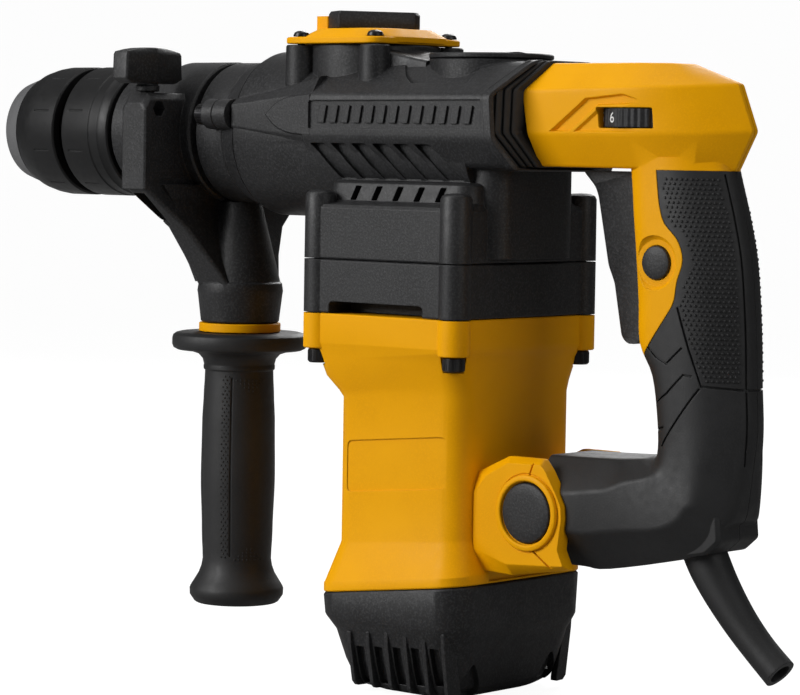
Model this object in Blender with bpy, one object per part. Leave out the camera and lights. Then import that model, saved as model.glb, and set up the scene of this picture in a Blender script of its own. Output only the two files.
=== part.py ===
"""A corded rotary hammer as an assembly of separate solids.

Frame: +Z up, the chuck points along -Y, +X is the tool's left. The origin is on the motor's
axis, in the flat base of the motor cap. Every dimension below is in millimetres, and MM turns
it into metres when a mesh is made.
"""

import math

import bmesh
import bpy
from mathutils import Matrix, Vector

MM = 0.001
GAP = 0.3  # clearance between two pieces that touch

# Main axes
BARREL_Z = 221.0  # height of the chuck's axis
GRIP_Y = -118.4  # the side grip's vertical axis
CRANK_Y = 18.75  # the crank's vertical axis
INTERMEDIATE_Y = -22.5  # the intermediate shaft's vertical axis
SELECTOR_Y = -44.0  # the mode selector's vertical axis
PIVOT = (0.0, 62.0, 77.2)  # the rear handle's lower pivot
TRIGGER_PIVOT = (0.0, 93.5, 203.0)
DIAL_CENTRE = (5.5, 99.0)

# Gears
GEAR_MODULE = 1.25
ARMATURE_TEETH = 6
CRANK_TEETH = 24
INTERMEDIATE_TEETH = 30
BEVEL_MODULE = 1.875
BEVEL_PINION_TEETH = 8
BEVEL_GEAR_TEETH = 24

# Barrel and chuck, as distances along Y from the motor's axis
CHUCK_FRONT = -244.0
CHUCK_RADIUS = 28.0
SLEEVE_REAR = -206.0
COLLAR_FRONT = -201.0
NECK_FRONT = -172.6
NECK_RADIUS = 25.5
SHOULDER_FRONT = -117.5
HOUSING_FRONT = -92.0
BARREL_RADIUS = 34.0
HOUSING_REAR = 44.5

# Stack of the motor, as heights
CAP_SEAM = 42.0  # height of the slanted seam on the motor's axis
SEAM_SLOPE = 0.125
MOTOR_TOP = 150.0
FLANGE_TOP = 171.4
BLOCK_TOP = 197.5
BOLT_X = 39.0
BOLT_YS = (-37.0, 33.4)
BOSS_RADIUS = 6.2
BLOCK_X = 43.6
BLOCK_FRONT = -41.6
BLOCK_REAR = 37.6

# Rear handle
SHELL_WALL = 3.0
PIVOT_HALF = 21.7  # half width of the arm's eye, inside the fork

AXES = {
    "Z": Matrix.Identity(3),
    "Y": Matrix(((1, 0, 0), (0, 0, 1), (0, -1, 0))),
    "X": Matrix(((0, 0, 1), (0, 1, 0), (-1, 0, 0))),
}

COLOURS = {
    "black_plastic": ((0.022, 0.022, 0.024), 0.55, 0.0),
    "yellow_plastic": ((0.78, 0.38, 0.004), 0.40, 0.0),
    "grip_rubber": ((0.014, 0.014, 0.015), 0.70, 0.0),
    "steel": ((0.55, 0.55, 0.56), 0.30, 1.0),
    "blackened_steel": ((0.03, 0.03, 0.032), 0.35, 1.0),
    "grey_rubber": ((0.16, 0.16, 0.165), 0.60, 0.0),
    "aluminium": ((0.70, 0.71, 0.72), 0.35, 1.0),
    "copper": ((0.72, 0.33, 0.16), 0.35, 1.0),
    "brass": ((0.75, 0.55, 0.22), 0.30, 1.0),
}


def clear_scene():
    for obj in list(bpy.data.objects):
        bpy.data.objects.remove(obj)


def make_materials():
    made = {}
    for name, (colour, roughness, metallic) in COLOURS.items():
        material = bpy.data.materials.new(name)
        material.use_nodes = True
        shader = material.node_tree.nodes["Principled BSDF"]
        shader.inputs["Base Color"].default_value = (*colour, 1.0)
        shader.inputs["Roughness"].default_value = roughness
        shader.inputs["Metallic"].default_value = metallic
        made[name] = material
    return made


# ---------------------------------------------------------------- mesh helpers


def piece(name, points, faces, slot, smooth=32.0):
    """A closed mesh object from points in millimetres, its faces turned outwards."""
    mesh = bpy.data.meshes.new(name)
    mesh.from_pydata([Vector(p) * MM for p in points], [], faces)
    bm = bmesh.new()
    bm.from_mesh(mesh)
    bmesh.ops.triangulate(bm, faces=bm.faces)
    bmesh.ops.recalc_face_normals(bm, faces=bm.faces)
    bm.to_mesh(mesh)
    bm.free()
    mesh.shade_smooth()
    mesh.set_sharp_from_angle(angle=math.radians(smooth))
    obj = bpy.data.objects.new(name, mesh)
    bpy.context.scene.collection.objects.link(obj)
    if slot:
        mesh.materials.append(MATERIALS[slot])
    else:
        obj.hide_render = True
        obj.display_type = "WIRE"
    return obj


def loft(name, slot, rings, closed=False, smooth=32.0):
    """Rings with the same number of points, joined in order; both ends are capped unless closed."""
    count = len(rings[0])
    points = [p for ring in rings for p in ring]
    faces = []
    for a in range(len(rings) if closed else len(rings) - 1):
        b = (a + 1) % len(rings)
        for i in range(count):
            j = (i + 1) % count
            faces.append((a * count + i, a * count + j, b * count + j, b * count + i))
    if not closed:
        faces.append(tuple(range(count)))
        faces.append(tuple((len(rings) - 1) * count + i for i in range(count)))
    return piece(name, points, faces, slot, smooth)


def turned(name, slot, profile, axis="Z", at=(0, 0, 0), sides=24):
    """A turned solid: profile is a closed outline of (distance along the axis, radius)."""
    points, starts = [], []
    for along, radius in profile:
        starts.append(len(points))
        turns = sides if radius > 1e-6 else 1
        for i in range(turns):
            angle = 2 * math.pi * i / sides
            local = Vector((radius * math.cos(angle), radius * math.sin(angle), along))
            points.append(AXES[axis] @ local + Vector(at))
    faces = []
    for a in range(len(profile)):
        b = (a + 1) % len(profile)
        on_axis = (profile[a][1] <= 1e-6, profile[b][1] <= 1e-6)
        for i in range(sides if not all(on_axis) else 0):
            j = (i + 1) % sides
            corners = (
                starts[a] + (0 if on_axis[0] else i),
                starts[a] + (0 if on_axis[0] else j),
                starts[b] + (0 if on_axis[1] else j),
                starts[b] + (0 if on_axis[1] else i),
            )
            faces.append(tuple(dict.fromkeys(corners)))
    return piece(name, points, faces, slot)


def rod(name, slot, radius, start, end, axis="Z", at=(0, 0, 0), sides=12):
    """A plain round bar between two distances along its axis, measured from `at`."""
    rings = []
    for along in (start, end):
        ring = []
        for i in range(sides):
            angle = 2 * math.pi * (i + 0.37) / sides
            local = Vector((radius * math.cos(angle), radius * math.sin(angle), along))
            ring.append(AXES[axis] @ local + Vector(at))
        rings.append(ring)
    return loft(name, slot, rings)


def tube(name, slot, outer, inner, start, end, axis="Z", at=(0, 0, 0), sides=20):
    profile = [(start, inner), (start, outer), (end, outer), (end, inner)]
    return turned(name, slot, profile, axis, at, sides)


def prism(name, slot, outline, start, end, plane="XY", smooth=32.0):
    """An outline extruded along the axis that its plane leaves out."""
    place = {
        "XY": lambda a, b, c: (a, b, c),
        "YZ": lambda a, b, c: (c, a, b),
        "XZ": lambda a, b, c: (a, c, b),
    }[plane]
    rings = [[place(a, b, c) for a, b in outline] for c in (start, end)]
    return loft(name, slot, rings, smooth=smooth)


def block(name, slot, low, high):
    outline = [(low[0], low[1]), (high[0], low[1]), (high[0], high[1]), (low[0], high[1])]
    return prism(name, slot, outline, low[2], high[2])


def rounded(x0, x1, y0, y1, radius, steps=3):
    """The outline of a rectangle with round corners."""
    corners = ((x1, y1, 0), (x0, y1, 90), (x0, y0, 180), (x1, y0, 270))
    outline = []
    for x, y, start in corners:
        cx = x - math.copysign(radius, x - (x0 + x1) / 2)
        cy = y - math.copysign(radius, y - (y0 + y1) / 2)
        for i in range(steps + 1):
            angle = math.radians(start + 90 * i / steps)
            outline.append((cx + radius * math.cos(angle), cy + radius * math.sin(angle)))
    return outline


def rounded_ring(half_x, front, rear, radius, height, steps=3):
    """A rounded rectangle at a height, which may be a function of y."""
    level = height if callable(height) else lambda y: height
    return [(x, y, level(y)) for x, y in rounded(-half_x, half_x, front, rear, radius, steps)]


def combine(target, other, operation):
    modifier = target.modifiers.new(f"{operation.lower()}_{other.name}", "BOOLEAN")
    modifier.operation = operation
    modifier.object = other
    modifier.solver = "EXACT"


def cut(target, *cutters):
    for cutter in cutters:
        combine(target, cutter, "DIFFERENCE")


def join(target, *others):
    for other in others:
        combine(target, other, "UNION")


def bounded(target, *guides):
    for guide in guides:
        combine(target, guide, "INTERSECT")


def seam(y, offset=0.0):
    """Height of the slanted joint between motor housing and cap."""
    return CAP_SEAM + SEAM_SLOPE * y + offset


def pivot_empty(name, at, children):
    """An empty on a joint's axis, which the moving pieces hang from."""
    empty = bpy.data.objects.new(name, None)
    bpy.context.scene.collection.objects.link(empty)
    empty.location = Vector(at) * MM
    hold = Matrix.Translation(empty.location).inverted()
    for child in children:
        child.parent = empty
        child.matrix_parent_inverse = hold


# ---------------------------------------------------------------- housing


def gear_housing():
    body = turned(
        "gear_housing",
        "black_plastic",
        [
            (HOUSING_FRONT, 0),
            (HOUSING_FRONT, 33),
            (HOUSING_FRONT + 2, BARREL_RADIUS),
            (-18, BARREL_RADIUS),
            (-18, 0),
        ],
        "Y",
        (0, 0, BARREL_Z),
        28,
    )
    body_front = -68.0
    right = [(30, 208), (36.5, 219.5), (36.5, 236.5), (18, 250)]
    upper = right + [(-x, z) for x, z in reversed(right)]
    nose = [(x * 0.86, 228 + (z - 228) * 0.55) for x, z in upper]
    tail = [(x * 0.72, 228 + (z - 228) * 0.92) for x, z in upper]
    stations = ((body_front, nose), (-50, upper), (41, upper), (HOUSING_REAR, tail))
    spine = loft("housing_spine", None, [[(x, y, z) for x, z in ring] for y, ring in stations])
    block_rings = [
        rounded_ring(BLOCK_X, BLOCK_FRONT, BLOCK_REAR, 8, FLANGE_TOP + GAP),
        rounded_ring(BLOCK_X, BLOCK_FRONT, BLOCK_REAR, 8, BLOCK_TOP - 4),
        rounded_ring(BLOCK_X - 3, BLOCK_FRONT + 3, BLOCK_REAR - 2, 8, BLOCK_TOP),
        rounded_ring(BLOCK_X - 8.5, BLOCK_FRONT + 4, BLOCK_REAR - 3, 8, 212),
    ]
    lower = loft("housing_block", None, block_rings)
    column = loft(
        "housing_column",
        None,
        [rounded_ring(26, 10, HOUSING_REAR - 1, 10, z) for z in (FLANGE_TOP + 2, 216)],
    )
    selector_boss = rod("selector_boss", None, 26.5, 236, 257, at=(0, SELECTOR_Y, 0), sides=24)
    lid_boss = rod("lid_boss", None, 24.5, 225, 251.1, at=(0, 17.5, 0), sides=24)
    join(body, spine, lower, column, selector_boss, lid_boss)
    for side in (-1, 1):
        rib = rod(f"side_rib_{side}", None, 7.0, HOUSING_FRONT + 0.5, -52, "Y", (side * 31.5, 0, 228.5))
        join(body, rib)
        for end in (-20, 20):
            at = (side * 22.6, SELECTOR_Y + end, 0)
            join(body, rod(f"screw_lobe_{side}_{end}", None, 6.2, 240, 256.8, at=at, sides=10))
    for x in (-BOLT_X, BOLT_X):
        for y in BOLT_YS:
            boss = rod(f"bolt_boss_{x}_{y}", None, BOSS_RADIUS, FLANGE_TOP + 0.5, BLOCK_TOP + 1, at=(x, y, 0))
            join(body, boss)
    hollow_gear_housing(body)
    return body


def hollow_gear_housing(body):
    front = HOUSING_FRONT - 2
    barrel_profile = [(front, 0), (front, 25.5), (-19, 25.5), (-19, 17.3), (2, 17.3), (2, 0)]
    cut(
        body,
        turned("barrel_space", None, barrel_profile, "Y", (0, 0, BARREL_Z), 24),
        rod("crank_chamber", None, 22.2, 189, 253, at=(0, 17.5, 0), sides=24),
        rod("pinion_well", None, 10.2, 187, 207, at=(0, INTERMEDIATE_Y, 0)),
        prism("gear_chamber", None, rounded(-21.6, 21.6, -43.3, 35.9, 15), 170, 191.5),
        rod("selector_hole", None, 5.5, 240, 260, at=(0, SELECTOR_Y, 0), sides=14),
    )
    for x in (-BOLT_X, BOLT_X):
        for y in BOLT_YS:
            cut(body, rod(f"bolt_hole_{x}_{y}", None, 2.9, 170, 187, at=(x, y, 0), sides=8))
    for side in (-1, 1):
        for end in (-20, 20):
            at = (side * 22.6, SELECTOR_Y + end, 0)
            cut(body, rod(f"cover_hole_{side}_{end}", None, 2.0, 247, 259, at=at, sides=8))
        cut(body, rod(f"front_hole_{side}", None, 2.9, -94, -80, "Y", (side * 31.5, 0, 228.5), 8))
        for index in range(5):
            low = -18.5 + 11.2 * index
            outline = [(low, 195), (low + 5, 195), (low + 8, 201), (low + 3, 201)]
            start, end = sorted((side * 30.5, side * 45))
            cut(body, prism(f"vent_{side}_{index}", None, outline, start, end, "YZ"))


def front_housing():
    profile = [
        (NECK_FRONT, 15.6),
        (NECK_FRONT, NECK_RADIUS - 1),
        (NECK_FRONT + 1, NECK_RADIUS),
        (SHOULDER_FRONT, NECK_RADIUS),
        (SHOULDER_FRONT, 28.6),
        (SHOULDER_FRONT + 1, 29.5),
        (-102, 29.5),
        (-101, 30.4),
        (-96, 31.8),
        (HOUSING_FRONT - GAP, 33.2),
        (HOUSING_FRONT - GAP, 17.4),
        (-119, 17.4),
        (-119, 15.6),
    ]
    body = turned("front_housing", "black_plastic", profile, "Y", (0, 0, BARREL_Z), 28)
    for side in (-1, 1):
        at = (side * 31.5, 0, 228.5)
        join(body, rod(f"front_boss_{side}", None, 6.2, -106.6, HOUSING_FRONT - 1, "Y", at))
        cut(body, rod(f"front_screw_hole_{side}", None, 2.9, -108, -90, "Y", at, 8))
        cut(body, rod(f"front_screw_seat_{side}", None, 5.0, -119, -106.6, "Y", at))
    return body


def intermediate_flange():
    outline = rounded(-BLOCK_X, BLOCK_X, BLOCK_FRONT, BLOCK_REAR, 8)
    body = prism("intermediate_flange", "black_plastic", outline, MOTOR_TOP + GAP, FLANGE_TOP)
    for x in (-BOLT_X, BOLT_X):
        for y in BOLT_YS:
            at = (x, y, 0)
            name = f"{x}_{y}"
            boss = rod(f"flange_boss_{name}", None, BOSS_RADIUS, MOTOR_TOP + 0.4, FLANGE_TOP - 0.1, at=at)
            join(body, boss)
            cut(body, rod(f"flange_hole_{name}", None, 2.9, 149, 173, at=at, sides=8))
    cut(
        body,
        rod("fan_recess", None, 28.5, 149, 156, sides=24),
        rod("upper_bearing_seat", None, 11.4, 155, 166.5, sides=20),
        rod("pinion_hole", None, 5.6, 165, 173),
        block("air_slot", None, (-48, -28, 149), (48, 21, 154.8)),
    )
    return body


def motor_housing():
    rings = [
        rounded_ring(42.3, -36.2, 39, 12, lambda y: seam(y, GAP)),
        rounded_ring(42.3, -36.2, 39, 12, lambda y: seam(y, 4.5)),
        rounded_ring(36.9, -30.8, 34.6, 10, 60),
        rounded_ring(36.9, -30.8, 34.6, 10, 118),
        rounded_ring(41.8, -37.6, 36.2, 9, 134),
        rounded_ring(BLOCK_X - 0.3, BLOCK_FRONT + 0.3, BLOCK_REAR - 0.3, 8, 137),
        rounded_ring(BLOCK_X - 0.3, BLOCK_FRONT + 0.3, BLOCK_REAR - 0.3, 8, MOTOR_TOP),
    ]
    body = loft("motor_housing", "yellow_plastic", rings)
    for x in (-BOLT_X, BOLT_X):
        for y in BOLT_YS:
            at = (x, y, 0)
            join(body, rod(f"motor_boss_{x}_{y}", None, BOSS_RADIUS, 136, MOTOR_TOP - 0.1, at=at))
            cut(body, rod(f"bolt_pocket_{x}_{y}", None, 5.2, 118, 135.9, at=at, sides=10))
            cut(body, rod(f"motor_bolt_hole_{x}_{y}", None, 2.9, 130, 152, at=at, sides=8))
    fork_outline = [(30, 52), (62, 52), (70, 55), (76, 62), (76, 90), (70, 97), (52, 98), (36, 92), (30, 84)]
    fork = prism("pivot_fork", None, fork_outline, -28, 28, "YZ")
    join(body, fork)
    eye_space = prism(
        "eye_space",
        None,
        [(37.5, 48), (80, 48), (80, 102), (37.5, 102)],
        -PIVOT_HALF - GAP,
        PIVOT_HALF + GAP,
        "YZ",
    )
    cut(
        body,
        eye_space,
        rod("pin_hole", None, 4.3, -30, 30, "X", (0, PIVOT[1], PIVOT[2])),
        rod("stator_bore", None, 28.2, 36, 152, sides=24),
        rod("left_cap_pocket", None, 12.0, 26.3, 30, "X", (0, PIVOT[1], PIVOT[2]), 20),
        rod("right_cap_pocket", None, 12.0, -30, -26.3, "X", (0, PIVOT[1], PIVOT[2]), 20),
    )
    return body


def motor_cap():
    rings = [
        rounded_ring(33, -23.5, 30, 10, 0),
        rounded_ring(36, -26, 33, 11, 2.5),
        rounded_ring(39.5, -31.5, 36, 12, 24),
        rounded_ring(41.6, -35.4, 38.2, 12, 29),
        rounded_ring(42.3, -36.2, 39, 12, seam),
    ]
    body = loft("motor_cap", "black_plastic", rings)
    inner = [
        rounded_ring(31.5, -21.5, 28.5, 9, 5),
        rounded_ring(35.5, -27.6, 32, 10, 24),
        rounded_ring(37.8, -31.8, 34.6, 10, 34),
        rounded_ring(37.8, -31.8, 34.6, 10, 60),
    ]
    cut(body, loft("cap_hollow", None, inner))
    join(body, tube("bearing_post", None, 14.5, 11.2, 4, 21))
    for side in (-1, 1):
        for index in range(5):
            front = -24.5 + 10.2 * index
            start, end = sorted((side * 22, side * 42))
            low, high = (front, front + 4.6)
            outline = [(low, 5), (high, 5), (high, 22), (low, 22)]
            cut(body, prism(f"intake_{side}_{index}", None, outline, start, end, "YZ"))
    return body


def selector_cover():
    outline = []
    for index in range(32):
        angle = 2 * math.pi * index / 32
        spread = 26.8 + 8.2 * max(0.0, -math.cos(4 * angle)) ** 3
        outline.append((spread * math.cos(angle), SELECTOR_Y + spread * math.sin(angle)))
    rim = prism("selector_cover", "yellow_plastic", outline, 257 + GAP, 260)
    plateau_rings = []
    for height, half in ((258, 25.5), (260, 25.5), (263.6, 20)):
        outline = rounded(-half, half, SELECTOR_Y - half, SELECTOR_Y + half, half * 0.55)
        plateau_rings.append([(x, y, height) for x, y in outline])
    join(rim, loft("cover_plateau", None, plateau_rings))
    join(rim, block("stop_pillar", None, (4, SELECTOR_Y - 22.5, 259.4), (11, SELECTOR_Y - 16.2, 269)))
    cut(rim, rod("lever_hole", None, 5.4, 255, 266, at=(0, SELECTOR_Y, 0)))
    for side in (-1, 1):
        for end in (-20, 20):
            at = (side * 22.6, SELECTOR_Y + end, 0)
            cut(rim, rod(f"cover_clearance_{side}_{end}", None, 2.0, 255, 262, at=at, sides=8))
            cut(rim, rod(f"cover_seat_{side}_{end}", None, 3.7, 260, 266, at=at, sides=12))
    return rim


def selector_lever():
    """A short bar on a shaft, its long side turned 30 degrees from the X axis."""
    turn = math.radians(-30)
    half_length, half_width = 18.0, 6.8
    corners = [
        (half_length, half_width),
        (-half_length + 3, half_width),
        (-half_length, half_width - 3),
        (-half_length, -half_width + 3),
        (-half_length + 3, -half_width),
        (half_length, -half_width),
    ]
    outline = [
        (x * math.cos(turn) - y * math.sin(turn), SELECTOR_Y + x * math.sin(turn) + y * math.cos(turn))
        for x, y in corners
    ]
    bar = prism("selector_lever", "black_plastic", outline, 263.6 + GAP, 270.8)
    shaft = rod("lever_shaft", None, 5.0, 247, 266, at=(0, SELECTOR_Y, 0))
    join(bar, shaft)
    return bar


def crank_lid():
    seat = 251.1 + GAP
    profile = [(246, 0), (246, 21.6), (seat, 21.6), (seat, 24.6), (252.6, 24.6), (253.4, 23.6), (253.4, 0)]
    return turned("crank_lid", "black_plastic", profile, at=(0, 17.5, 0))


def socket_screw(name, slot, head_radius, head_length, shank_radius, shank_length, axis, at, turn=1):
    """A socket-head screw: `at` is under the head, and the shank runs along turn x axis."""
    profile = [
        (turn * shank_length, 0),
        (turn * shank_length, shank_radius),
        (0, shank_radius),
        (0, head_radius),
        (-turn * (head_length - 0.5), head_radius),
        (-turn * head_length, head_radius - 0.5),
        (-turn * head_length, 0),
    ]
    screw = turned(name, slot, profile, axis, at, 10)
    start, end = sorted((-turn * (head_length + 1), -turn * head_length * 0.4))
    cut(screw, rod(f"{name}_socket", None, head_radius * 0.52, start, end, axis, at, 6))
    return screw


def screws():
    made = []
    motor_places = [(x, y) for x in (-BOLT_X, BOLT_X) for y in BOLT_YS]
    for index, (x, y) in enumerate(motor_places):
        name = f"motor_bolt_{index + 1}"
        at = (x, y, 135.8 - GAP)
        made.append(socket_screw(name, "blackened_steel", 4.25, 5.6, 2.4, 50, "Z", at))
    cover_places = [(x, SELECTOR_Y + y) for x in (-22.6, 22.6) for y in (-20, 20)]
    for index, (x, y) in enumerate(cover_places):
        name = f"cover_screw_{index + 1}"
        made.append(socket_screw(name, "blackened_steel", 3.3, 2.4, 1.5, 11, "Z", (x, y, 260 + GAP), -1))
    for side, name in ((-1, "front_screw_right"), (1, "front_screw_left")):
        at = (side * 31.5, -106.6 - GAP, 228.5)
        made.append(socket_screw(name, "blackened_steel", 4.25, 5.0, 2.4, 24, "Y", at))
    return made


# ---------------------------------------------------------------- motor


def motor_pieces():
    tube("stator", "steel", 27.6, 16.5, 62, 112)
    for side, name in ((-1, "brush_holder_right"), (1, "brush_holder_left")):
        start, end = sorted((side * 11.6, side * 25))
        prism(name, "brass", [(-4, 48), (4, 48), (4, 56), (-4, 56)], start, end, "YZ")
    tube("lower_bearing", "steel", 10.9, 4.3, 6, 14)
    tube("upper_bearing", "steel", 11.0, 4.3, 157, 165)
    profile = [
        (5.5, 0),
        (5.5, 4),
        (46, 4),
        (46, 11),
        (58, 11),
        (58, 8),
        (64, 8),
        (64, 15.5),
        (110, 15.5),
        (110, 8),
        (116, 4.4),
        (118, 4),
        (174, 4),
        (174, 0),
    ]
    armature = turned("armature", "copper", profile, sides=16)
    blades = []
    for index in range(8):
        for radius, shift in ((13.0, -15), (13.0, -5), (25.5, -2), (25.5, 2), (13.0, 5), (13.0, 15)):
            angle = math.radians(45 * index + shift)
            blades.append((radius * math.cos(angle), radius * math.sin(angle)))
    fan = prism("fan", "black_plastic", blades, 140, 150)
    join(fan, rod("fan_disc", None, 26.5, 138.4, 141, sides=24))
    cut(fan, rod("fan_bore", None, 4.4, 137, 152))
    pinion = prism("armature_pinion", "steel", gear_outline(ARMATURE_TEETH, 30, (0, 0)), 174 + GAP, 188.5)
    pivot_empty("armature_axis", (0, 0, 0), (armature, fan, pinion))


def gear_outline(teeth, phase, centre, module=GEAR_MODULE):
    """Straight-sided teeth, a little thin so that a pair runs with play. phase turns the first tooth."""
    pitch = teeth * module / 2
    root, tip = pitch - 1.2 * module, pitch + 0.75 * module
    width = 360 / teeth
    outline = []
    for index in range(teeth):
        middle = phase + width * index
        for radius, share in ((root, -0.29), (tip, -0.11), (tip, 0.11), (root, 0.29)):
            angle = math.radians(middle + share * width)
            outline.append((centre[0] + radius * math.cos(angle), centre[1] + radius * math.sin(angle)))
    return outline


def gears():
    crank_gear = prism(
        "crank_gear",
        "steel",
        gear_outline(CRANK_TEETH, 270 + 180 / CRANK_TEETH, (0, CRANK_Y)),
        176,
        188,
    )
    crank_disc = turned(
        "crank_disc",
        None,
        [(173, 0), (173, 5), (182, 5), (182, 10), (190, 10), (190, 16), (212, 16), (212, 0)],
        at=(0, CRANK_Y, 0),
    )
    join(crank_gear, crank_disc)
    pivot_empty("crank_axis", (0, CRANK_Y, 0), (crank_gear,))

    gear = prism(
        "intermediate_gear",
        "steel",
        gear_outline(INTERMEDIATE_TEETH, 90 + 180 / INTERMEDIATE_TEETH, (0, INTERMEDIATE_Y)),
        176,
        188,
    )
    join(gear, rod("intermediate_shaft", None, 4.0, 173, 191, at=(0, INTERMEDIATE_Y, 0)))
    apex_z = BARREL_Z
    pitch_height = apex_z - BEVEL_GEAR_TEETH * BEVEL_MODULE / 2
    rings = []
    for height in (pitch_height - 1.5, pitch_height + 4.5):
        scale = (apex_z - height) / (apex_z - pitch_height)
        outline = gear_outline(BEVEL_PINION_TEETH, 270, (0, 0), BEVEL_MODULE * scale)
        rings.append([(x, INTERMEDIATE_Y + y, height) for x, y in outline])
    bevel_pinion = loft("bevel_pinion", "steel", rings)
    join(bevel_pinion, rod("pinion_hub", None, 4.5, 191 + GAP, 198, at=(0, INTERMEDIATE_Y, 0)))
    pivot_empty("intermediate_axis", (0, INTERMEDIATE_Y, 0), (gear, bevel_pinion))


def bevel_gear():
    """A flat bevel ring round the cylinder: every station is one quad, and tips alternate with roots."""
    outer, inner = 23.6, 17.6
    back = -37.0
    apex_y = INTERMEDIATE_Y
    slope = BEVEL_PINION_TEETH / BEVEL_GEAR_TEETH
    rings = []
    for index in range(BEVEL_GEAR_TEETH):
        middle = 270 + 360 / BEVEL_GEAR_TEETH * (index + 0.5)
        for share, height in ((-0.29, -1.7), (-0.11, 1.0), (0.11, 1.0), (0.29, -1.7)):
            angle = math.radians(middle + share * 360 / BEVEL_GEAR_TEETH)
            ring = []
            for radius, tooth in ((inner, False), (outer, False), (outer, True), (inner, True)):
                pitch_y = apex_y - radius * slope
                y = pitch_y + height * radius / outer if tooth else back
                ring.append((radius * math.cos(angle), y, BARREL_Z + radius * math.sin(angle)))
            rings.append(ring)
    return loft("bevel_gear", "steel", rings, closed=True)


# ---------------------------------------------------------------- barrel


def barrel_pieces():
    at = (0, 0, BARREL_Z)
    cylinder = tube("cylinder", "steel", 16.6, 13.0, -92, -2, "Y", at, 24)
    ring_gear = bevel_gear()
    holder_profile = [
        (-238, 5.3),
        (-238, 11),
        (-203, 11),
        (-203, 14),
        (-98, 14),
        (-98, 12.6),
        (-92 - GAP, 12.6),
        (-92 - GAP, 8.8),
        (-165, 8.8),
        (-165, 5.3),
    ]
    holder = turned("tool_holder", "steel", holder_profile, "Y", at, 18)
    cap_profile = [
        (CHUCK_FRONT, 9),
        (CHUCK_FRONT, 20.6),
        (CHUCK_FRONT + 0.8, 21.6),
        (-233.3, 24.4),
        (-233.3, 11.3),
        (-238 - GAP, 11.3),
        (-238 - GAP, 6.2),
        (-240, 6.2),
    ]
    front_cap = turned("front_cap", "grey_rubber", cap_profile, "Y", at, 24)
    cage = turned(
        "ball_cage",
        "blackened_steel",
        [
            (-212, 11.3),
            (-212, 23.4),
            (COLLAR_FRONT - GAP, 23.4),
            (COLLAR_FRONT - GAP, 14.4),
            (-203.3, 14.4),
            (-203.3, 11.3),
        ],
        "Y",
        at,
        24,
    )
    collar_profile = [
        (COLLAR_FRONT, 14.4),
        (COLLAR_FRONT, 27.2),
        (COLLAR_FRONT + 0.8, CHUCK_RADIUS),
        (-181.5, CHUCK_RADIUS),
        (-181, 27.2),
        (-178, 27),
        (-177.6, 26.2),
        (NECK_FRONT - 0.7, 26),
        (NECK_FRONT - 0.7, 14.4),
    ]
    collar = turned("rear_collar", "black_plastic", collar_profile, "Y", at, 24)
    spinning = (cylinder, ring_gear, holder, front_cap, cage, collar)

    sleeve_profile = [
        (-233, 11.4),
        (-233, 24.5),
        (-229, 26.2),
        (-224, 27.5),
        (-220, CHUCK_RADIUS),
        (SLEEVE_REAR - 0.8, CHUCK_RADIUS),
        (SLEEVE_REAR, 27.2),
        (SLEEVE_REAR, 24),
        (-223, 24),
        (-225, 20),
        (-225, 11.4),
    ]
    sleeve = turned("chuck_sleeve", "black_plastic", sleeve_profile, "Y", at, 24)
    pivot_empty("spindle_axis", at, (*spinning, sleeve))

    tube("cylinder_bearing", "steel", 25.0, 17.0, -62, -52, "Y", at, 24)
    piston = turned(
        "piston",
        "aluminium",
        [(-32, 0), (-32, 12.7), (-4, 12.7), (-4, 8.5), (-18, 8.5), (-18, 0)],
        "Y",
        at,
        20,
    )
    rod_side = [(4.5, -13.5), (4.5, 24), (7, 28.75), (3.5, 34.5)]
    rod_outline = rod_side + [(-x, y) for x, y in reversed(rod_side)]
    con_rod = prism("connecting_rod", "steel", rod_outline, BARREL_Z - 4, BARREL_Z + 4)
    pin = rod("crank_pin", "steel", 3.6, 213, 228, at=(0, 28.75, 0))
    cut(con_rod, rod("pin_seat", None, 3.9, 210, 230, at=(0, 28.75, 0)))
    pivot_empty("wrist_axis", (0, -10, BARREL_Z), (con_rod, pin))
    pivot_empty("piston_axis", at, (piston,))
    striker = turned(
        "striker",
        "steel",
        [(-96, 0), (-96, 6), (-85, 6), (-83, 12.7), (-56, 12.7), (-56, 0)],
        "Y",
        at,
        20,
    )
    impact_bolt = turned(
        "impact_bolt",
        "steel",
        [(-158, 0), (-158, 5), (-140, 5), (-138, 8.4), (-118, 8.4), (-116, 5.5), (-104.5, 5.5), (-104.5, 0)],
        "Y",
        at,
        16,
    )
    pivot_empty("hammer_axis", at, (striker, impact_bolt))


# ---------------------------------------------------------------- side handle


def arm_ring(side, z, x_range, y_range):
    (x0, x1), (y0, y1) = x_range, y_range
    return [(side * x, y, z) for x, y in ((x0, y0), (x1, y0), (x1, y1), (x0, y1))]


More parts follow.
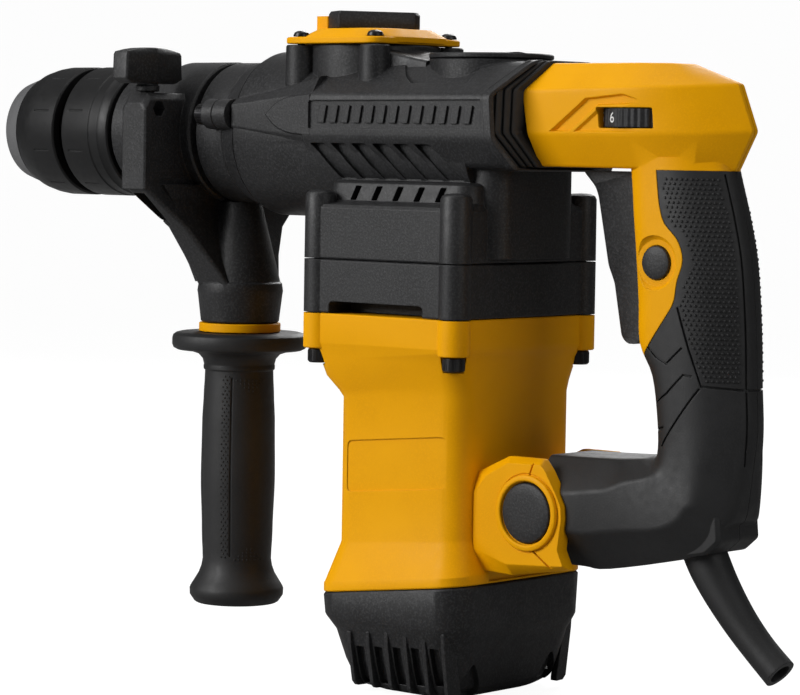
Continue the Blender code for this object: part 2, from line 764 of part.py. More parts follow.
def side_handle():
    barrel_at = (0, 0, BARREL_Z)
    clamp = turned(
        "side_clamp",
        "black_plastic",
        [
            (-146, NECK_RADIUS + GAP),
            (-146, 29.2),
            (-145.4, 29.8),
            (-121.1, 29.8),
            (-120.5, 29.2),
            (-120.5, NECK_RADIUS + GAP),
        ],
        "Y",
        barrel_at,
        28,
    )
    grip_at = (0, GRIP_Y, 0)
    cone = turned(
        "clamp_hub",
        None,
        [(141, 0), (141, 16.6), (154, 18.1), (158, 17.6), (181, 9.5), (181, 0)],
        at=grip_at,
        sides=20,
    )
    join(clamp, cone)
    for side in (-1, 1):
        lug_low, lug_high = sorted((side * 17, side * 50))
        lug = prism(
            f"clamp_lug_{side}",
            None,
            [(-140, 197), (-126, 197), (-126, 236), (-127.5, 237.3), (-138.5, 237.3), (-140, 236)],
            lug_low,
            lug_high,
            "YZ",
        )
        join(clamp, lug)
        sections = (
            (203, (24, 49.5), (-139.7, -126.3)),
            (197, (22, 49.5), (-139.7, -126.3)),
            (181, (12, 28), (-134.5, -114)),
            (157, (2, 16.5), (-130, -110)),
        )
        join(clamp, loft(f"clamp_arm_{side}", None, [arm_ring(side, *section) for section in sections]))
    cut(
        clamp,
        rod("neck_space", None, NECK_RADIUS + GAP, -150, -118, "Y", barrel_at, 28),
        rod("depth_rod_hole", None, 4.4, -145, -120, "Y", (42, 0, 230.5), 6),
        rod("knob_hole", None, 3.3, 233, 240, at=(42, -133, 0)),
        rod("stud_hole", None, 5.3, 138, 176, at=grip_at),
    )

    knob_outline = [(-20, -4), (0, -6.6), (20, -4), (20, 4), (0, 6.6), (-20, 4)]
    knob_rings = []
    for height, scale in ((241, 0.9), (243, 1.0), (253, 1.0), (255.7, 0.9)):
        knob_rings.append([(42 + x * scale, -133 + y * scale, height) for x, y in knob_outline])
    knob = loft("depth_knob", "black_plastic", knob_rings)
    knob_stem = turned(
        "knob_stem",
        None,
        [(235.3, 0), (235.3, 2.9), (237.6, 2.9), (237.6, 4.8), (242, 4.8), (242, 0)],
        at=(42, -133, 0),
        sides=10,
    )
    join(knob, knob_stem)
    pivot_empty("knob_axis", (42, -133, 0), (knob,))

    collar = tube("grip_collar", "yellow_plastic", 17.3, 5.3, 137, 141 - GAP, at=grip_at, sides=20)
    grip_profile = [
        (21.5, 0),
        (21.5, 18),
        (24, 19.8),
        (28, 20),
        (34, 16.2),
        (40, 14.6),
        (75, 15.8),
        (122, 14.6),
        (127, 16),
        (129, 26.5),
        (131, 28.6),
        (134.5, 28.6),
        (136.7, 25.5),
        (136.7, 5.3),
        (100, 5.3),
        (100, 0),
    ]
    grip = turned("side_grip", "grip_rubber", grip_profile, at=grip_at, sides=20)
    stud = rod("grip_stud", "steel", 4.9, 100 + GAP, 174, at=grip_at)
    pivot_empty("grip_axis", grip_at, (collar, grip, stud))
    pivot_empty("clamp_axis", barrel_at, (clamp,))


# ---------------------------------------------------------------- rear handle

HEAD_SECTIONS = (
    # y of the top, shoulder, waist and bottom corners, then the half widths and heights of each
    ((56, 51, 54, 56), (12, 22, 22, 16), (249.3, 239, 222, 209.6)),
    ((123, 120, 120, 120), (12, 22, 22, 16), (249.3, 239.5, 222.5, 209.6)),
    ((125, 134, 137, 133), (11, 18.5, 18.5, 14), (248.6, 240, 223, 209.6)),
    ((130, 142, 146.5, 139), (8, 8, 8, 7), (246, 241, 224, 209.6)),
)
# height, front y, rear y, half width of the upright grip
COLUMN_SECTIONS = (
    (212, 91, 135, 16),
    (200, 92.5, 137.5, 16.5),
    (177, 95, 144, 17.2),
    (160, 96.5, 146.3, 17.2),
    (142, 98.5, 147.6, 17),
    (128, 103.5, 148.2, 17),
    (112, 107, 148.4, 17),
    (98, 108, 147.6, 18),
    (82, 104, 145, 19.5),
    (70, 100, 137.5, 19),
)
# y, bottom, lower facet, upper facet, top and half width of the lower arm
ARM_SECTIONS = (
    (49, 65, 69, 85, 90, 21.7),
    (58, 57, 68, 87, 97, 21.7),
    (77.6, 57, 71, 86, 97.5, 21.7),
    (78.4, 57, 71, 86, 97.5, 25.6),
    (90, 57, 72, 86, 97, 24.4),
    (104, 59, 73, 87, 100, 23),
    (124, 63, 74, 88, 106, 21.5),
)


def head_rings(wall):
    rings = []
    for ys, halves, heights in HEAD_SECTIONS:
        corners = []
        for y, half, height in zip(ys, halves, heights):
            inward_z = 229 + (height - 229) * (1 - wall / 20)
            corners.append((max(half - wall, 2), y if wall == 0 else min(y, 140) - wall * 0.6, inward_z))
        rings.append(corners + [(-x, y, z) for x, y, z in reversed(corners)])
    return rings


def column_rings(wall, top=214):
    """Sections of the upright grip, the first one raised to `top` inside the head."""
    return [
        rounded_ring(half - wall, front + wall, rear - wall, 10 - wall * 0.8, height if index else top)
        for index, (height, front, rear, half) in enumerate(COLUMN_SECTIONS)
    ]


def arm_rings(wall):
    rings = []
    for y, bottom, low, high, top, half in ARM_SECTIONS:
        corners = [
            (half * 0.55, top - wall),
            (half - wall, high - wall / 2),
            (half - wall, low + wall / 2),
            (half * 0.55, bottom + wall),
        ]
        rings.append([(x, y, z) for x, z in corners] + [(-x, y, z) for x, z in reversed(corners)])
    return rings


def black_zone(shift):
    """Side outline (y, z) of what is black on the handle; a shift moves its border with the yellow."""
    border = [(118, 209), (116, 188), (121.5, 184), (125.5, 175), (122.5, 165), (122, 159.5), (114, 152)]
    border += [(106, 141.6), (90, 133)]
    edge = [(y + shift, z - (shift if z < 150 else 0)) for y, z in border]
    return edge + [(44, 133 - shift), (44, 50), (160, 50), (160, 209)]


def handle_half(name, slot, side, zone_pieces):
    """One half shell of the D handle: the outer form less the hollow, kept on one side of x = 0."""
    body = loft(name, slot, column_rings(0))
    join(body, loft(f"{name}_head", None, head_rings(0)), loft(f"{name}_arm", None, arm_rings(0)))
    hollows = (
        loft(f"{name}_head_hollow", None, head_rings(SHELL_WALL)[:3]),
        loft(f"{name}_column_hollow", None, column_rings(SHELL_WALL, 216)[:-1]),
        loft(f"{name}_arm_hollow", None, arm_rings(SHELL_WALL)[2:]),
    )
    cut(body, *hollows)
    low, high = sorted((side * GAP / 2, side * 40))
    bounded(body, block(f"{name}_side", None, (low, 0, 0), (high, 200, 300)))
    for operation, outline in zone_pieces:
        zone = prism(f"{name}_{operation.lower()}", None, outline, -40, 40, "YZ")
        combine(body, zone, operation)
    return body


def rear_handle():
    trigger_slot = block("trigger_slot", None, (-7.2, 60, 141), (7.2, 112, 209.2))
    pivot_bore = rod("pivot_bore", None, 4.4, -40, 40, "X", (0, PIVOT[1], PIVOT[2]))
    guard_space = loft("guard_space", None, guard_rings(GAP))
    halves = {}
    for side, word in ((1, "left"), (-1, "right")):
        shell = handle_half(f"handle_shell_{word}", "yellow_plastic", side, [("DIFFERENCE", black_zone(0))])
        cover = handle_half(f"grip_cover_{word}", "grip_rubber", side, [("INTERSECT", black_zone(GAP))])
        cut(shell, trigger_slot)
        cut(cover, trigger_slot, pivot_bore, guard_space)
        halves[word] = (shell, cover)
    window = block("dial_window", None, (14, 86.5, 224.2), (30, 112, 232.8))
    button_hole = rod("button_hole", None, 6.8, 10, 25, "X", (0, 111.6, 174.6), 16)
    cut(halves["left"][0], window, button_hole)

    trigger_outline = [(68.5, 208.3), (74.4, 202.5), (76, 199), (81.5, 172.4), (84.5, 166), (88.4, 145.5)]
    trigger_outline += [(91, 143), (97, 143), (101, 150), (101, 204), (97, 208.3)]
    trigger = prism("trigger", "black_plastic", trigger_outline, -6.6, 6.6, "YZ")
    button = turned(
        "lock_button",
        "black_plastic",
        [(10.5, 0), (10.5, 6.4), (18.5, 6.4), (19.2, 5.4), (19.2, 0)],
        "X",
        (0, 111.6, 174.6),
        16,
    )
    dial = turned(
        "speed_dial",
        "black_plastic",
        [(225, 0), (225, 16.6), (225.5, 17), (231.5, 17), (232, 16.6), (232, 0)],
        at=(*DIAL_CENTRE, 0),
        sides=24,
    )
    switch = block("switch", "black_plastic", (-7, 112.5, 146), (7, 128, 196))
    guard = cable_guard()
    for name, at, moved in (
        ("trigger_axis", TRIGGER_PIVOT, (trigger,)),
        ("button_axis", (0, 111.6, 174.6), (button,)),
        ("dial_axis", (*DIAL_CENTRE, 228), (dial,)),
    ):
        pivot_empty(name, at, moved)
    pivot_empty("handle_axis", PIVOT, (*halves["left"], *halves["right"], switch, guard))
    rod("pivot_pin", "steel", 4.0, -26, 26, "X", (0, PIVOT[1], PIVOT[2]))
    for side, word in ((1, "left"), (-1, "right")):
        profile = [(26.3 + GAP, 0), (26.3 + GAP, 11.6), (28.6, 11.6), (29.2, 10.8), (28.9, 0)]
        mirrored = [(side * along, radius) for along, radius in profile]
        turned(f"pivot_cap_{word}", "black_plastic", mirrored, "X", (0, PIVOT[1], PIVOT[2]), 24)


GUARD_ROUTE = (
    # y and z of the centre line, then the radius
    (122.5, 72, 8.3),
    (127.5, 62, 8.2),
    (132.5, 54, 7.7),
    (138.5, 46, 7.1),
    (145, 38.5, 6.6),
    (152.6, 31, 6.3),
    (160.9, 23.8, 6.4),
)


def guard_rings(grow=0.0, radius=None, overrun=0.0):
    """Rings square to the guard's route: its own radii plus `grow`, or one fixed radius."""
    route = [Vector((0, y, z)) for y, z, _ in GUARD_ROUTE]
    rings = []
    for index, centre in enumerate(route):
        ahead = (route[min(index + 1, len(route) - 1)] - route[max(index - 1, 0)]).normalized()
        side = Vector((1, 0, 0))
        lift = ahead.cross(side)
        reach = radius or GUARD_ROUTE[index][2] + grow
        shift = {0: -overrun, len(route) - 1: overrun}.get(index, 0.0)
        ring = []
        for step in range(12):
            turn = 2 * math.pi * step / 12
            spoke = side * math.cos(turn) + lift * math.sin(turn)
            ring.append(centre + ahead * shift + spoke * reach)
        rings.append(ring)
    return rings


def cable_guard():
    """A tapered bend guard with a bore, curving down and back from the foot of the handle."""
    guard = loft("cable_guard", "grip_rubber", guard_rings())
    cut(guard, loft("guard_bore", None, guard_rings(radius=4.3, overrun=1.0)))
    return guard


def handle_bellows():
    """The fold nearest the housing, as a frame that the head's open front slides over."""
    corners = [(8.5, 245.5), (18.3, 237), (18.3, 223.3), (12.5, 213.2)]
    loop = corners + [(-x, z) for x, z in reversed(corners)]
    bellows = prism("bellows", "grip_rubber", loop, 46.9, 49.3, "XZ")
    inner = [(x * 0.8, 229 + (z - 229) * 0.8) for x, z in loop]
    cut(bellows, prism("bellows_hollow", None, inner, 45, 51, "XZ"))


clear_scene()
MATERIALS = make_materials()
gear_housing()
front_housing()
intermediate_flange()
motor_housing()
motor_cap()
selector_cover()
pivot_empty("selector_axis", (0, SELECTOR_Y, 0), (selector_lever(),))
crank_lid()
screws()
motor_pieces()
gears()
barrel_pieces()
side_handle()
rear_handle()
handle_bellows()
bpy.context.view_layer.update()
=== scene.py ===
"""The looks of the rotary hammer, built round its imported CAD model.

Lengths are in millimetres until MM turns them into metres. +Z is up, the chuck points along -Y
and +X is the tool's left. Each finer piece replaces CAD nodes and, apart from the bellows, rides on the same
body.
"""

import math

import bmesh
import bpy
from mathutils import Matrix, Vector
from mathutils.bvhtree import BVHTree


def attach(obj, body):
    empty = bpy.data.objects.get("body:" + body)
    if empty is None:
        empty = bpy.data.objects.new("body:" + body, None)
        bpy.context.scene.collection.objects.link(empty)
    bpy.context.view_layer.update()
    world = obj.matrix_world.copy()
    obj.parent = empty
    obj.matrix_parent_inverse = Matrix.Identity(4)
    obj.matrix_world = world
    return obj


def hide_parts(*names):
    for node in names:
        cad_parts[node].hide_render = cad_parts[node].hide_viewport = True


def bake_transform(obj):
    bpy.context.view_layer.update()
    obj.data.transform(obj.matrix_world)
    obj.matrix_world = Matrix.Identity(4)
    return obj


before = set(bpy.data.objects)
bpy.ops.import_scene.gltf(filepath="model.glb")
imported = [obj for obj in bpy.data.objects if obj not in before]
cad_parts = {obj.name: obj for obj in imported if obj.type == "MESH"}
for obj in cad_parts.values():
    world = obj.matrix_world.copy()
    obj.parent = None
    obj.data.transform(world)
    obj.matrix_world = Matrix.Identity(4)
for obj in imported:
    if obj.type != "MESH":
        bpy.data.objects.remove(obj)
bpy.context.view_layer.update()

MM = 0.001
BARREL_Z = 221.0
BARREL = (0.0, 0.0, BARREL_Z)
GRIP_Y = -118.4
GRIP = (0.0, GRIP_Y, 0.0)
SELECTOR_Y = -44.0
SELECTOR = (0.0, SELECTOR_Y, 0.0)
LID = (0.0, 17.5, 0.0)
PIVOT = (0.0, 62.0, 77.2)
BUTTON = (0.0, 111.6, 174.6)
DIAL = (5.5, 99.0, 0.0)
KNOB = (42.0, -133.0, 0.0)
BLOCK_X, BLOCK_FRONT, BLOCK_REAR = 43.6, -41.6, 37.6
FLANGE_TOP = 171.4
MOTOR_TOP = 150.0
BOLT_PLACES = [(x, y) for x in (-39.0, 39.0) for y in (-37.0, 33.4)]
COVER_SCREWS = [(x, SELECTOR_Y + y) for x in (-22.6, 22.6) for y in (-20, 20)]
GAP = 0.3
FRONT_SCREW_X, FRONT_SCREW_Z = 31.5, 228.5
SPINE_Z = 228.0
BELLOWS_Z = 229.0
LEVER_TURN = math.radians(-30)

# metres, not millimetres
WELD = 2e-6
MOULDED_EDGE = 0.0006
MACHINED_EDGE = 0.0003

AXES = {
    "Z": Matrix.Identity(3),
    "Y": Matrix(((1, 0, 0), (0, 0, 1), (0, -1, 0))),
    "X": Matrix(((0, 0, 1), (0, 1, 0), (-1, 0, 0))),
}


# ---------------------------------------------------------------- materials


def new_material(name):
    material = bpy.data.materials.new(name)
    material.use_nodes = True
    return material, material.node_tree, material.node_tree.nodes["Principled BSDF"]


def noise(tree, scale, detail, coordinates):
    node = tree.nodes.new("ShaderNodeTexNoise")
    node.inputs["Scale"].default_value = scale
    node.inputs["Detail"].default_value = detail
    tree.links.new(coordinates, node.inputs["Vector"])
    return node.outputs["Fac"]


def spread(tree, value, low, high, to_low, to_high):
    node = tree.nodes.new("ShaderNodeMapRange")
    for socket, number in zip(("From Min", "From Max", "To Min", "To Max"), (low, high, to_low, to_high)):
        node.inputs[socket].default_value = number
    tree.links.new(value, node.inputs["Value"])
    return node.outputs["Result"]


def blend_colour(tree, factor, first, second):
    """A colour between two, each of them a plain colour or a socket."""
    node = tree.nodes.new("ShaderNodeMix")
    node.data_type = "RGBA"
    tree.links.new(factor, node.inputs["Factor"])
    for socket, colour in ((node.inputs[6], first), (node.inputs[7], second)):
        if isinstance(colour, bpy.types.NodeSocket):
            tree.links.new(colour, socket)
        else:
            socket.default_value = (*colour, 1.0)
    return node.outputs[2]


def bump(tree, height, strength, distance, normal):
    node = tree.nodes.new("ShaderNodeBump")
    node.inputs["Strength"].default_value = strength
    node.inputs["Distance"].default_value = distance
    tree.links.new(height, node.inputs["Height"])
    tree.links.new(normal, node.inputs["Normal"])
    return node.outputs["Normal"]


def rounded_normal(tree, radius):
    """The normal of faces whose edges look rounded off to a radius."""
    node = tree.nodes.new("ShaderNodeBevel")
    node.samples = 4
    node.inputs["Radius"].default_value = radius
    return node.outputs["Normal"]


def edge_mask(tree, rounded):
    """1 near an edge, 0 on an open face: how far the rounded normal leans from the true one."""
    geometry = tree.nodes.new("ShaderNodeNewGeometry")
    dot = tree.nodes.new("ShaderNodeVectorMath")
    dot.operation = "DOT_PRODUCT"
    tree.links.new(rounded, dot.inputs[0])
    tree.links.new(geometry.outputs["Normal"], dot.inputs[1])
    return spread(tree, dot.outputs["Value"], 0.97, 0.78, 0.0, 1.0)


def moulded(name, colour, lighter, worn, wear, roughness, specular, grain, depth, flecks=1.0):
    """A moulded plastic or rubber: fine grain, slight shade changes, and paler edges.

    The grain's raised parts take the lighter colour times `flecks`, and `wear` is how strongly
    the edges take the worn colour.
    """
    material, tree, shader = new_material(name)
    place = tree.nodes.new("ShaderNodeTexCoord").outputs["Object"]
    rounded = rounded_normal(tree, MOULDED_EDGE)
    fine = noise(tree, grain, 2.0, place)
    broad = noise(tree, 38.0, 3.0, place)
    patch = noise(tree, 320.0, 4.0, place)
    tone = blend_colour(tree, spread(tree, broad, 0.35, 0.65, 0.0, 1.0), colour, lighter)
    fleck = [flecks * channel for channel in lighter]
    flecked = blend_colour(tree, spread(tree, fine, 0.46, 0.70, 0.0, 1.0), tone, fleck)
    rubbed = tree.nodes.new("ShaderNodeMath")
    rubbed.operation = "MULTIPLY"
    tree.links.new(edge_mask(tree, rounded), rubbed.inputs[0])
    tree.links.new(spread(tree, patch, 0.40, 0.62, 0.0, wear), rubbed.inputs[1])
    tree.links.new(blend_colour(tree, rubbed.outputs["Value"], flecked, worn), shader.inputs["Base Color"])
    shader.inputs["Specular IOR Level"].default_value = specular
    rough = spread(tree, patch, 0.3, 0.7, roughness - 0.05, roughness + 0.05)
    tree.links.new(rough, shader.inputs["Roughness"])
    tree.links.new(bump(tree, fine, 0.55, depth, rounded), shader.inputs["Normal"])
    return material


def turned_metal(name, colour, darker, roughness):
    """Machined metal: fine turning lines, darker in places with oil and handling."""
    material, tree, shader = new_material(name)
    place = tree.nodes.new("ShaderNodeTexCoord").outputs["Object"]
    stretch = tree.nodes.new("ShaderNodeMapping")
    stretch.inputs["Scale"].default_value = (0.05, 1.0, 0.05)
    tree.links.new(place, stretch.inputs["Vector"])
    lines = noise(tree, 900.0, 3.0, stretch.outputs["Vector"])
    patch = noise(tree, 90.0, 4.0, place)
    tone = blend_colour(tree, spread(tree, patch, 0.35, 0.68, 0.0, 1.0), colour, darker)
    tree.links.new(tone, shader.inputs["Base Color"])
    rough = spread(tree, lines, 0.3, 0.7, roughness - 0.08, roughness + 0.10)
    tree.links.new(rough, shader.inputs["Roughness"])
    shader.inputs["Metallic"].default_value = 1.0
    rounded = rounded_normal(tree, MACHINED_EDGE)
    tree.links.new(bump(tree, lines, 0.25, 0.00004, rounded), shader.inputs["Normal"])
    return material


def ink_material():
    material, tree, shader = new_material("white_ink")
    place = tree.nodes.new("ShaderNodeTexCoord").outputs["Object"]
    worn = noise(tree, 900.0, 3.0, place)
    tone = blend_colour(tree, spread(tree, worn, 0.4, 0.75, 0.0, 1.0), (0.80, 0.80, 0.78), (0.55, 0.55, 0.54))
    tree.links.new(tone, shader.inputs["Base Color"])
    shader.inputs["Roughness"].default_value = 0.5
    return material


def make_materials():
    """Every slot's material by name, and the ones for details within a slot."""
    made = [
        moulded(
            "black_plastic",
            (0.0075, 0.0075, 0.0081),
            (0.0130, 0.0130, 0.0137),
            worn=(0.06, 0.06, 0.06),
            wear=0.5,
            roughness=0.50,
            specular=0.36,
            grain=1150,
            depth=0.00014,
            flecks=2.2,
        ),
        moulded(
            "yellow_plastic",
            (0.78, 0.345, 0.0),
            (0.83, 0.375, 0.0),
            worn=(0.90, 0.50, 0.01),
            wear=0.25,
            roughness=0.46,
            specular=0.10,
            grain=1500,
            depth=0.00003,
        ),
        moulded(
            "grip_rubber",
            (0.0078, 0.0078, 0.0082),
            (0.013, 0.013, 0.0136),
            worn=(0.045, 0.045, 0.045),
            wear=0.4,
            roughness=0.56,
            specular=0.42,
            grain=1400,
            depth=0.00008,
        ),
        moulded(
            "smooth_black",
            (0.0042, 0.0042, 0.0045),
            (0.0068, 0.0068, 0.0072),
            worn=(0.03, 0.03, 0.03),
            wear=0.5,
            roughness=0.44,
            specular=0.28,
            grain=1500,
            depth=0.00003,
        ),
        moulded(
            "grey_rubber",
            (0.085, 0.085, 0.088),
            (0.12, 0.12, 0.122),
            worn=(0.2, 0.2, 0.2),
            wear=0.4,
            roughness=0.50,
            specular=0.4,
            grain=1800,
            depth=0.00006,
        ),
        turned_metal("steel", (0.56, 0.56, 0.57), (0.36, 0.35, 0.34), 0.30),
        turned_metal("blackened_steel", (0.030, 0.030, 0.032), (0.060, 0.058, 0.056), 0.34),
        turned_metal("aluminium", (0.72, 0.73, 0.74), (0.52, 0.52, 0.52), 0.34),
        turned_metal("copper", (0.72, 0.33, 0.16), (0.42, 0.16, 0.07), 0.34),
        turned_metal("brass", (0.75, 0.55, 0.22), (0.50, 0.34, 0.12), 0.30),
        ink_material(),
    ]
    # a name the frame already uses gets a number after a point
    return {material.name.split(".")[0]: material for material in made}


MATERIALS = make_materials()


# ---------------------------------------------------------------- mesh helpers


def solid(name, points, faces):
    mesh = bpy.data.meshes.new(name)
    mesh.from_pydata([Vector(p) * MM for p in points], [], faces)
    bm = bmesh.new()
    bm.from_mesh(mesh)
    bmesh.ops.triangulate(bm, faces=bm.faces)
    bmesh.ops.recalc_face_normals(bm, faces=bm.faces)
    bm.to_mesh(mesh)
    bm.free()
    obj = bpy.data.objects.new(name, mesh)
    bpy.context.scene.collection.objects.link(obj)
    return obj


def loft(name, rings, closed=False):
    count = len(rings[0])
    points = [p for ring in rings for p in ring]
    faces = []
    for a in range(len(rings) if closed else len(rings) - 1):
        b = (a + 1) % len(rings)
        for i in range(count):
            j = (i + 1) % count
            faces.append((a * count + i, a * count + j, b * count + j, b * count + i))
    if not closed:
        faces.append(tuple(range(count)))
        faces.append(tuple((len(rings) - 1) * count + i for i in range(count)))
    return solid(name, points, faces)


def around(axis, at, radius, along, angle):
    local = Vector((radius * math.cos(angle), radius * math.sin(angle), along))
    return AXES[axis] @ local + Vector(at)


def turned(name, profile, axis="Z", at=(0, 0, 0), sides=96, phase=0.0):
    """A turned solid from a closed outline of (distance along the axis, radius)."""
    points, starts = [], []
    for along, radius in profile:
        starts.append(len(points))
        for i in range(sides if radius > 1e-6 else 1):
            points.append(around(axis, at, radius, along, phase + 2 * math.pi * i / sides))
    faces = []
    for a in range(len(profile)):
        b = (a + 1) % len(profile)
        on_axis = (profile[a][1] <= 1e-6, profile[b][1] <= 1e-6)
        for i in range(sides if not all(on_axis) else 0):
            j = (i + 1) % sides
            corners = (
                starts[a] + (0 if on_axis[0] else i),
                starts[a] + (0 if on_axis[0] else j),
                starts[b] + (0 if on_axis[1] else j),
                starts[b] + (0 if on_axis[1] else i),
            )
            faces.append(tuple(dict.fromkeys(corners)))
    return solid(name, points, faces)


def bar(name, radius, start, end, axis="Z", at=(0, 0, 0), sides=48):
    return turned(name, [(start, 0), (start, radius), (end, radius), (end, 0)], axis, at, sides, 0.01)


def ring_of(name, outer, inner, start, end, axis="Z", at=(0, 0, 0), sides=96):
    return turned(name, [(start, inner), (start, outer), (end, outer), (end, inner)], axis, at, sides)


def placed(plane, a, b, c):
    return {"XY": (a, b, c), "YZ": (c, a, b), "XZ": (a, c, b)}[plane]


def prism(name, outline, start, end, plane="XY"):
    rings = [[placed(plane, a, b, c) for a, b in outline] for c in sorted((start, end))]
    return loft(name, rings)


def block(name, low, high):
    outline = [(low[0], low[1]), (high[0], low[1]), (high[0], high[1]), (low[0], high[1])]
    return prism(name, outline, low[2], high[2])


def soft(corners, radii, steps=4):
    """Rounds the corners of a closed outline in the plane or in space."""
    corners = [Vector(c) for c in corners]
    if not isinstance(radii, (list, tuple)):
        radii = [radii] * len(corners)
    outline = []
    for index, corner in enumerate(corners):
        before = corners[index - 1] - corner
        after = corners[(index + 1) % len(corners)] - corner
        reach = min(radii[index], 0.46 * before.length, 0.46 * after.length)
        start = corner + before.normalized() * reach
        end = corner + after.normalized() * reach
        for step in range(steps + 1):
            t = step / steps
            outline.append(start * (1 - t) ** 2 + corner * (2 * t * (1 - t)) + end * t * t)
    return outline


def mirrored(ring):
    """A ring's points and then their images at -X, in the order that closes the ring."""
    return [*ring, *((-x, *rest) for x, *rest in reversed(ring))]


def rectangle(x0, x1, y0, y1):
    return [(x0, y0), (x1, y0), (x1, y1), (x0, y1)]


def round_ring(half_x, front, rear, radius, height, steps=8):
    """A rectangle with round corners at a height, which may be a function of y."""
    level = height if callable(height) else lambda y: height
    ring = []
    for sx, y, start in ((1, rear, 0), (-1, rear, 90), (-1, front, 180), (1, front, 270)):
        cx = sx * (half_x - radius)
        cy = y - math.copysign(radius, y - (front + rear) / 2)
        for i in range(steps + 1):
            angle = math.radians(start + 90 * i / steps)
            px = cx + radius * math.cos(angle)
            py = cy + radius * math.sin(angle)
            ring.append((px, py, level(py)))
    return ring


def settle(obj):
    """Turns an object's modifiers into plain mesh."""
    graph = bpy.context.evaluated_depsgraph_get()
    mesh = bpy.data.meshes.new_from_object(obj.evaluated_get(graph))
    obj.modifiers.clear()
    obj.data = mesh


def mend(obj):
    """Merges the doubled corners that a Boolean can leave, and triangulates its faces again."""
    bm = bmesh.new()
    bm.from_mesh(obj.data)
    bmesh.ops.remove_doubles(bm, verts=bm.verts, dist=WELD)
    bmesh.ops.dissolve_degenerate(bm, dist=WELD, edges=bm.edges)
    bmesh.ops.triangulate(bm, faces=[face for face in bm.faces if len(face.verts) > 4])
    bm.to_mesh(obj.data)
    bm.free()


def combine(target, others, operation):
    for other in others:
        modifier = target.modifiers.new(other.name, "BOOLEAN")
        modifier.operation = operation
        modifier.object = other
        modifier.solver = "EXACT"
    settle(target)
    mend(target)
    for other in others:
        bpy.data.objects.remove(other)
    return target


def cut(target, *others):
    return combine(target, others, "DIFFERENCE")


def join(target, *others):
    return combine(target, others, "UNION")


def keep_within(target, *others):
    return combine(target, others, "INTERSECT")


def gather(name, objects):
    """One object holding the meshes of several that don't touch."""
    points, faces = [], []
    for obj in objects:
        base = len(points)
        points.extend(v.co / MM for v in obj.data.vertices)
        faces.extend(tuple(base + i for i in p.vertices) for p in obj.data.polygons)
        bpy.data.objects.remove(obj)
    mesh = bpy.data.meshes.new(name)
    mesh.from_pydata([Vector(p) * MM for p in points], [], faces)
    merged = bpy.data.objects.new(name, mesh)
    bpy.context.scene.collection.objects.link(merged)
    return merged


def twin(obj, name):
    copy = bpy.data.objects.new(name, obj.data.copy())
    bpy.context.scene.collection.objects.link(copy)
    return copy


def engrave(body, core, tools):
    """Cuts the tools into a body only as deep as its core, a slightly smaller body."""
    for tool in tools:
        cut(tool, twin(core, f"{tool.name}_core"))
        cut(body, tool)


def surface_of(obj):
    points = [v.co / MM for v in obj.data.vertices]
    return BVHTree.FromPolygons(points, [tuple(p.vertices) for p in obj.data.polygons])


def studs(name, places, radius, height, sides=6):
    """Small flat-topped bumps, each at a point with the outward normal there."""
    points, faces = [], []
    for place, normal in places:
        across = normal.orthogonal().normalized()
        upward = normal.cross(across)
        base = len(points)
        for reach, lift in ((radius, -0.3), (radius * 0.62, height)):
            for i in range(sides):
                angle = 2 * math.pi * i / sides
                spoke = across * math.cos(angle) + upward * math.sin(angle)
                points.append(place + spoke * reach + normal * lift)
        faces.append(tuple(base + sides + i for i in range(sides)))
        faces.append(tuple(base + i for i in reversed(range(sides))))
        for i in range(sides):
            j = (i + 1) % sides
            faces.append((base + i, base + j, base + sides + j, base + sides + i))
    return solid(name, points, faces)


def dress(obj, slot, body, stands_for=(), bevel=0.0, smooth=32.0, material=None):
    """Gives a piece its material (its slot's own unless another is named), smooth faces and body, and hides
    the nodes it stands for.
    """
    obj.data.materials.clear()
    obj.data.materials.append(MATERIALS[material or slot])
    obj.data.shade_smooth()
    if bevel:
        modifier = obj.modifiers.new("edges", "BEVEL")
        modifier.width = bevel * MM
        modifier.segments = 2
        modifier.limit_method = "ANGLE"
        modifier.angle_limit = math.radians(smooth)
        modifier.harden_normals = True
        settle(obj)
    else:
        obj.data.set_sharp_from_angle(angle=math.radians(smooth))
    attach(obj, body)
    if stands_for:
        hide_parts(*stands_for)
    return obj


# ---------------------------------------------------------------- camera, stage and light


def place_camera():
    """A long lens behind and to the left of the tool, level with the barrel."""
    turn, pitch, roll = math.radians(41.0), math.atan(202.5 / 3200), 0.016
    back = Vector((math.cos(turn) * math.cos(pitch), math.sin(turn) * math.cos(pitch), math.sin(pitch)))
    right = Vector((-math.sin(turn), math.cos(turn), 0))
    up = back.cross(right)
    side = right * math.cos(roll) + up * math.sin(roll)
    top = up * math.cos(roll) - right * math.sin(roll)
    data = bpy.data.cameras.new("camera")
    data.sensor_width = 36.0
    data.lens = 144.0
    data.clip_start = 0.05
    camera = bpy.data.objects.new("camera", data)
    camera.matrix_world = Matrix((side, top, back)).transposed().to_4x4()
    camera.location = Vector((979.9, 823.8, 217.0)) * MM
    bpy.context.scene.collection.objects.link(camera)
    bpy.context.scene.camera = camera


def softbox(name, location, size, energy, aim=(0, 0, 0.14)):
    data = bpy.data.lights.new(name, "AREA")
    data.shape = "RECTANGLE"
    data.size, data.size_y = size
    data.energy = energy
    lamp = bpy.data.objects.new(name, data)
    lamp.location = location
    lamp.rotation_euler = (Vector(aim) - Vector(location)).to_track_quat("-Z", "Y").to_euler()
    bpy.context.scene.collection.objects.link(lamp)


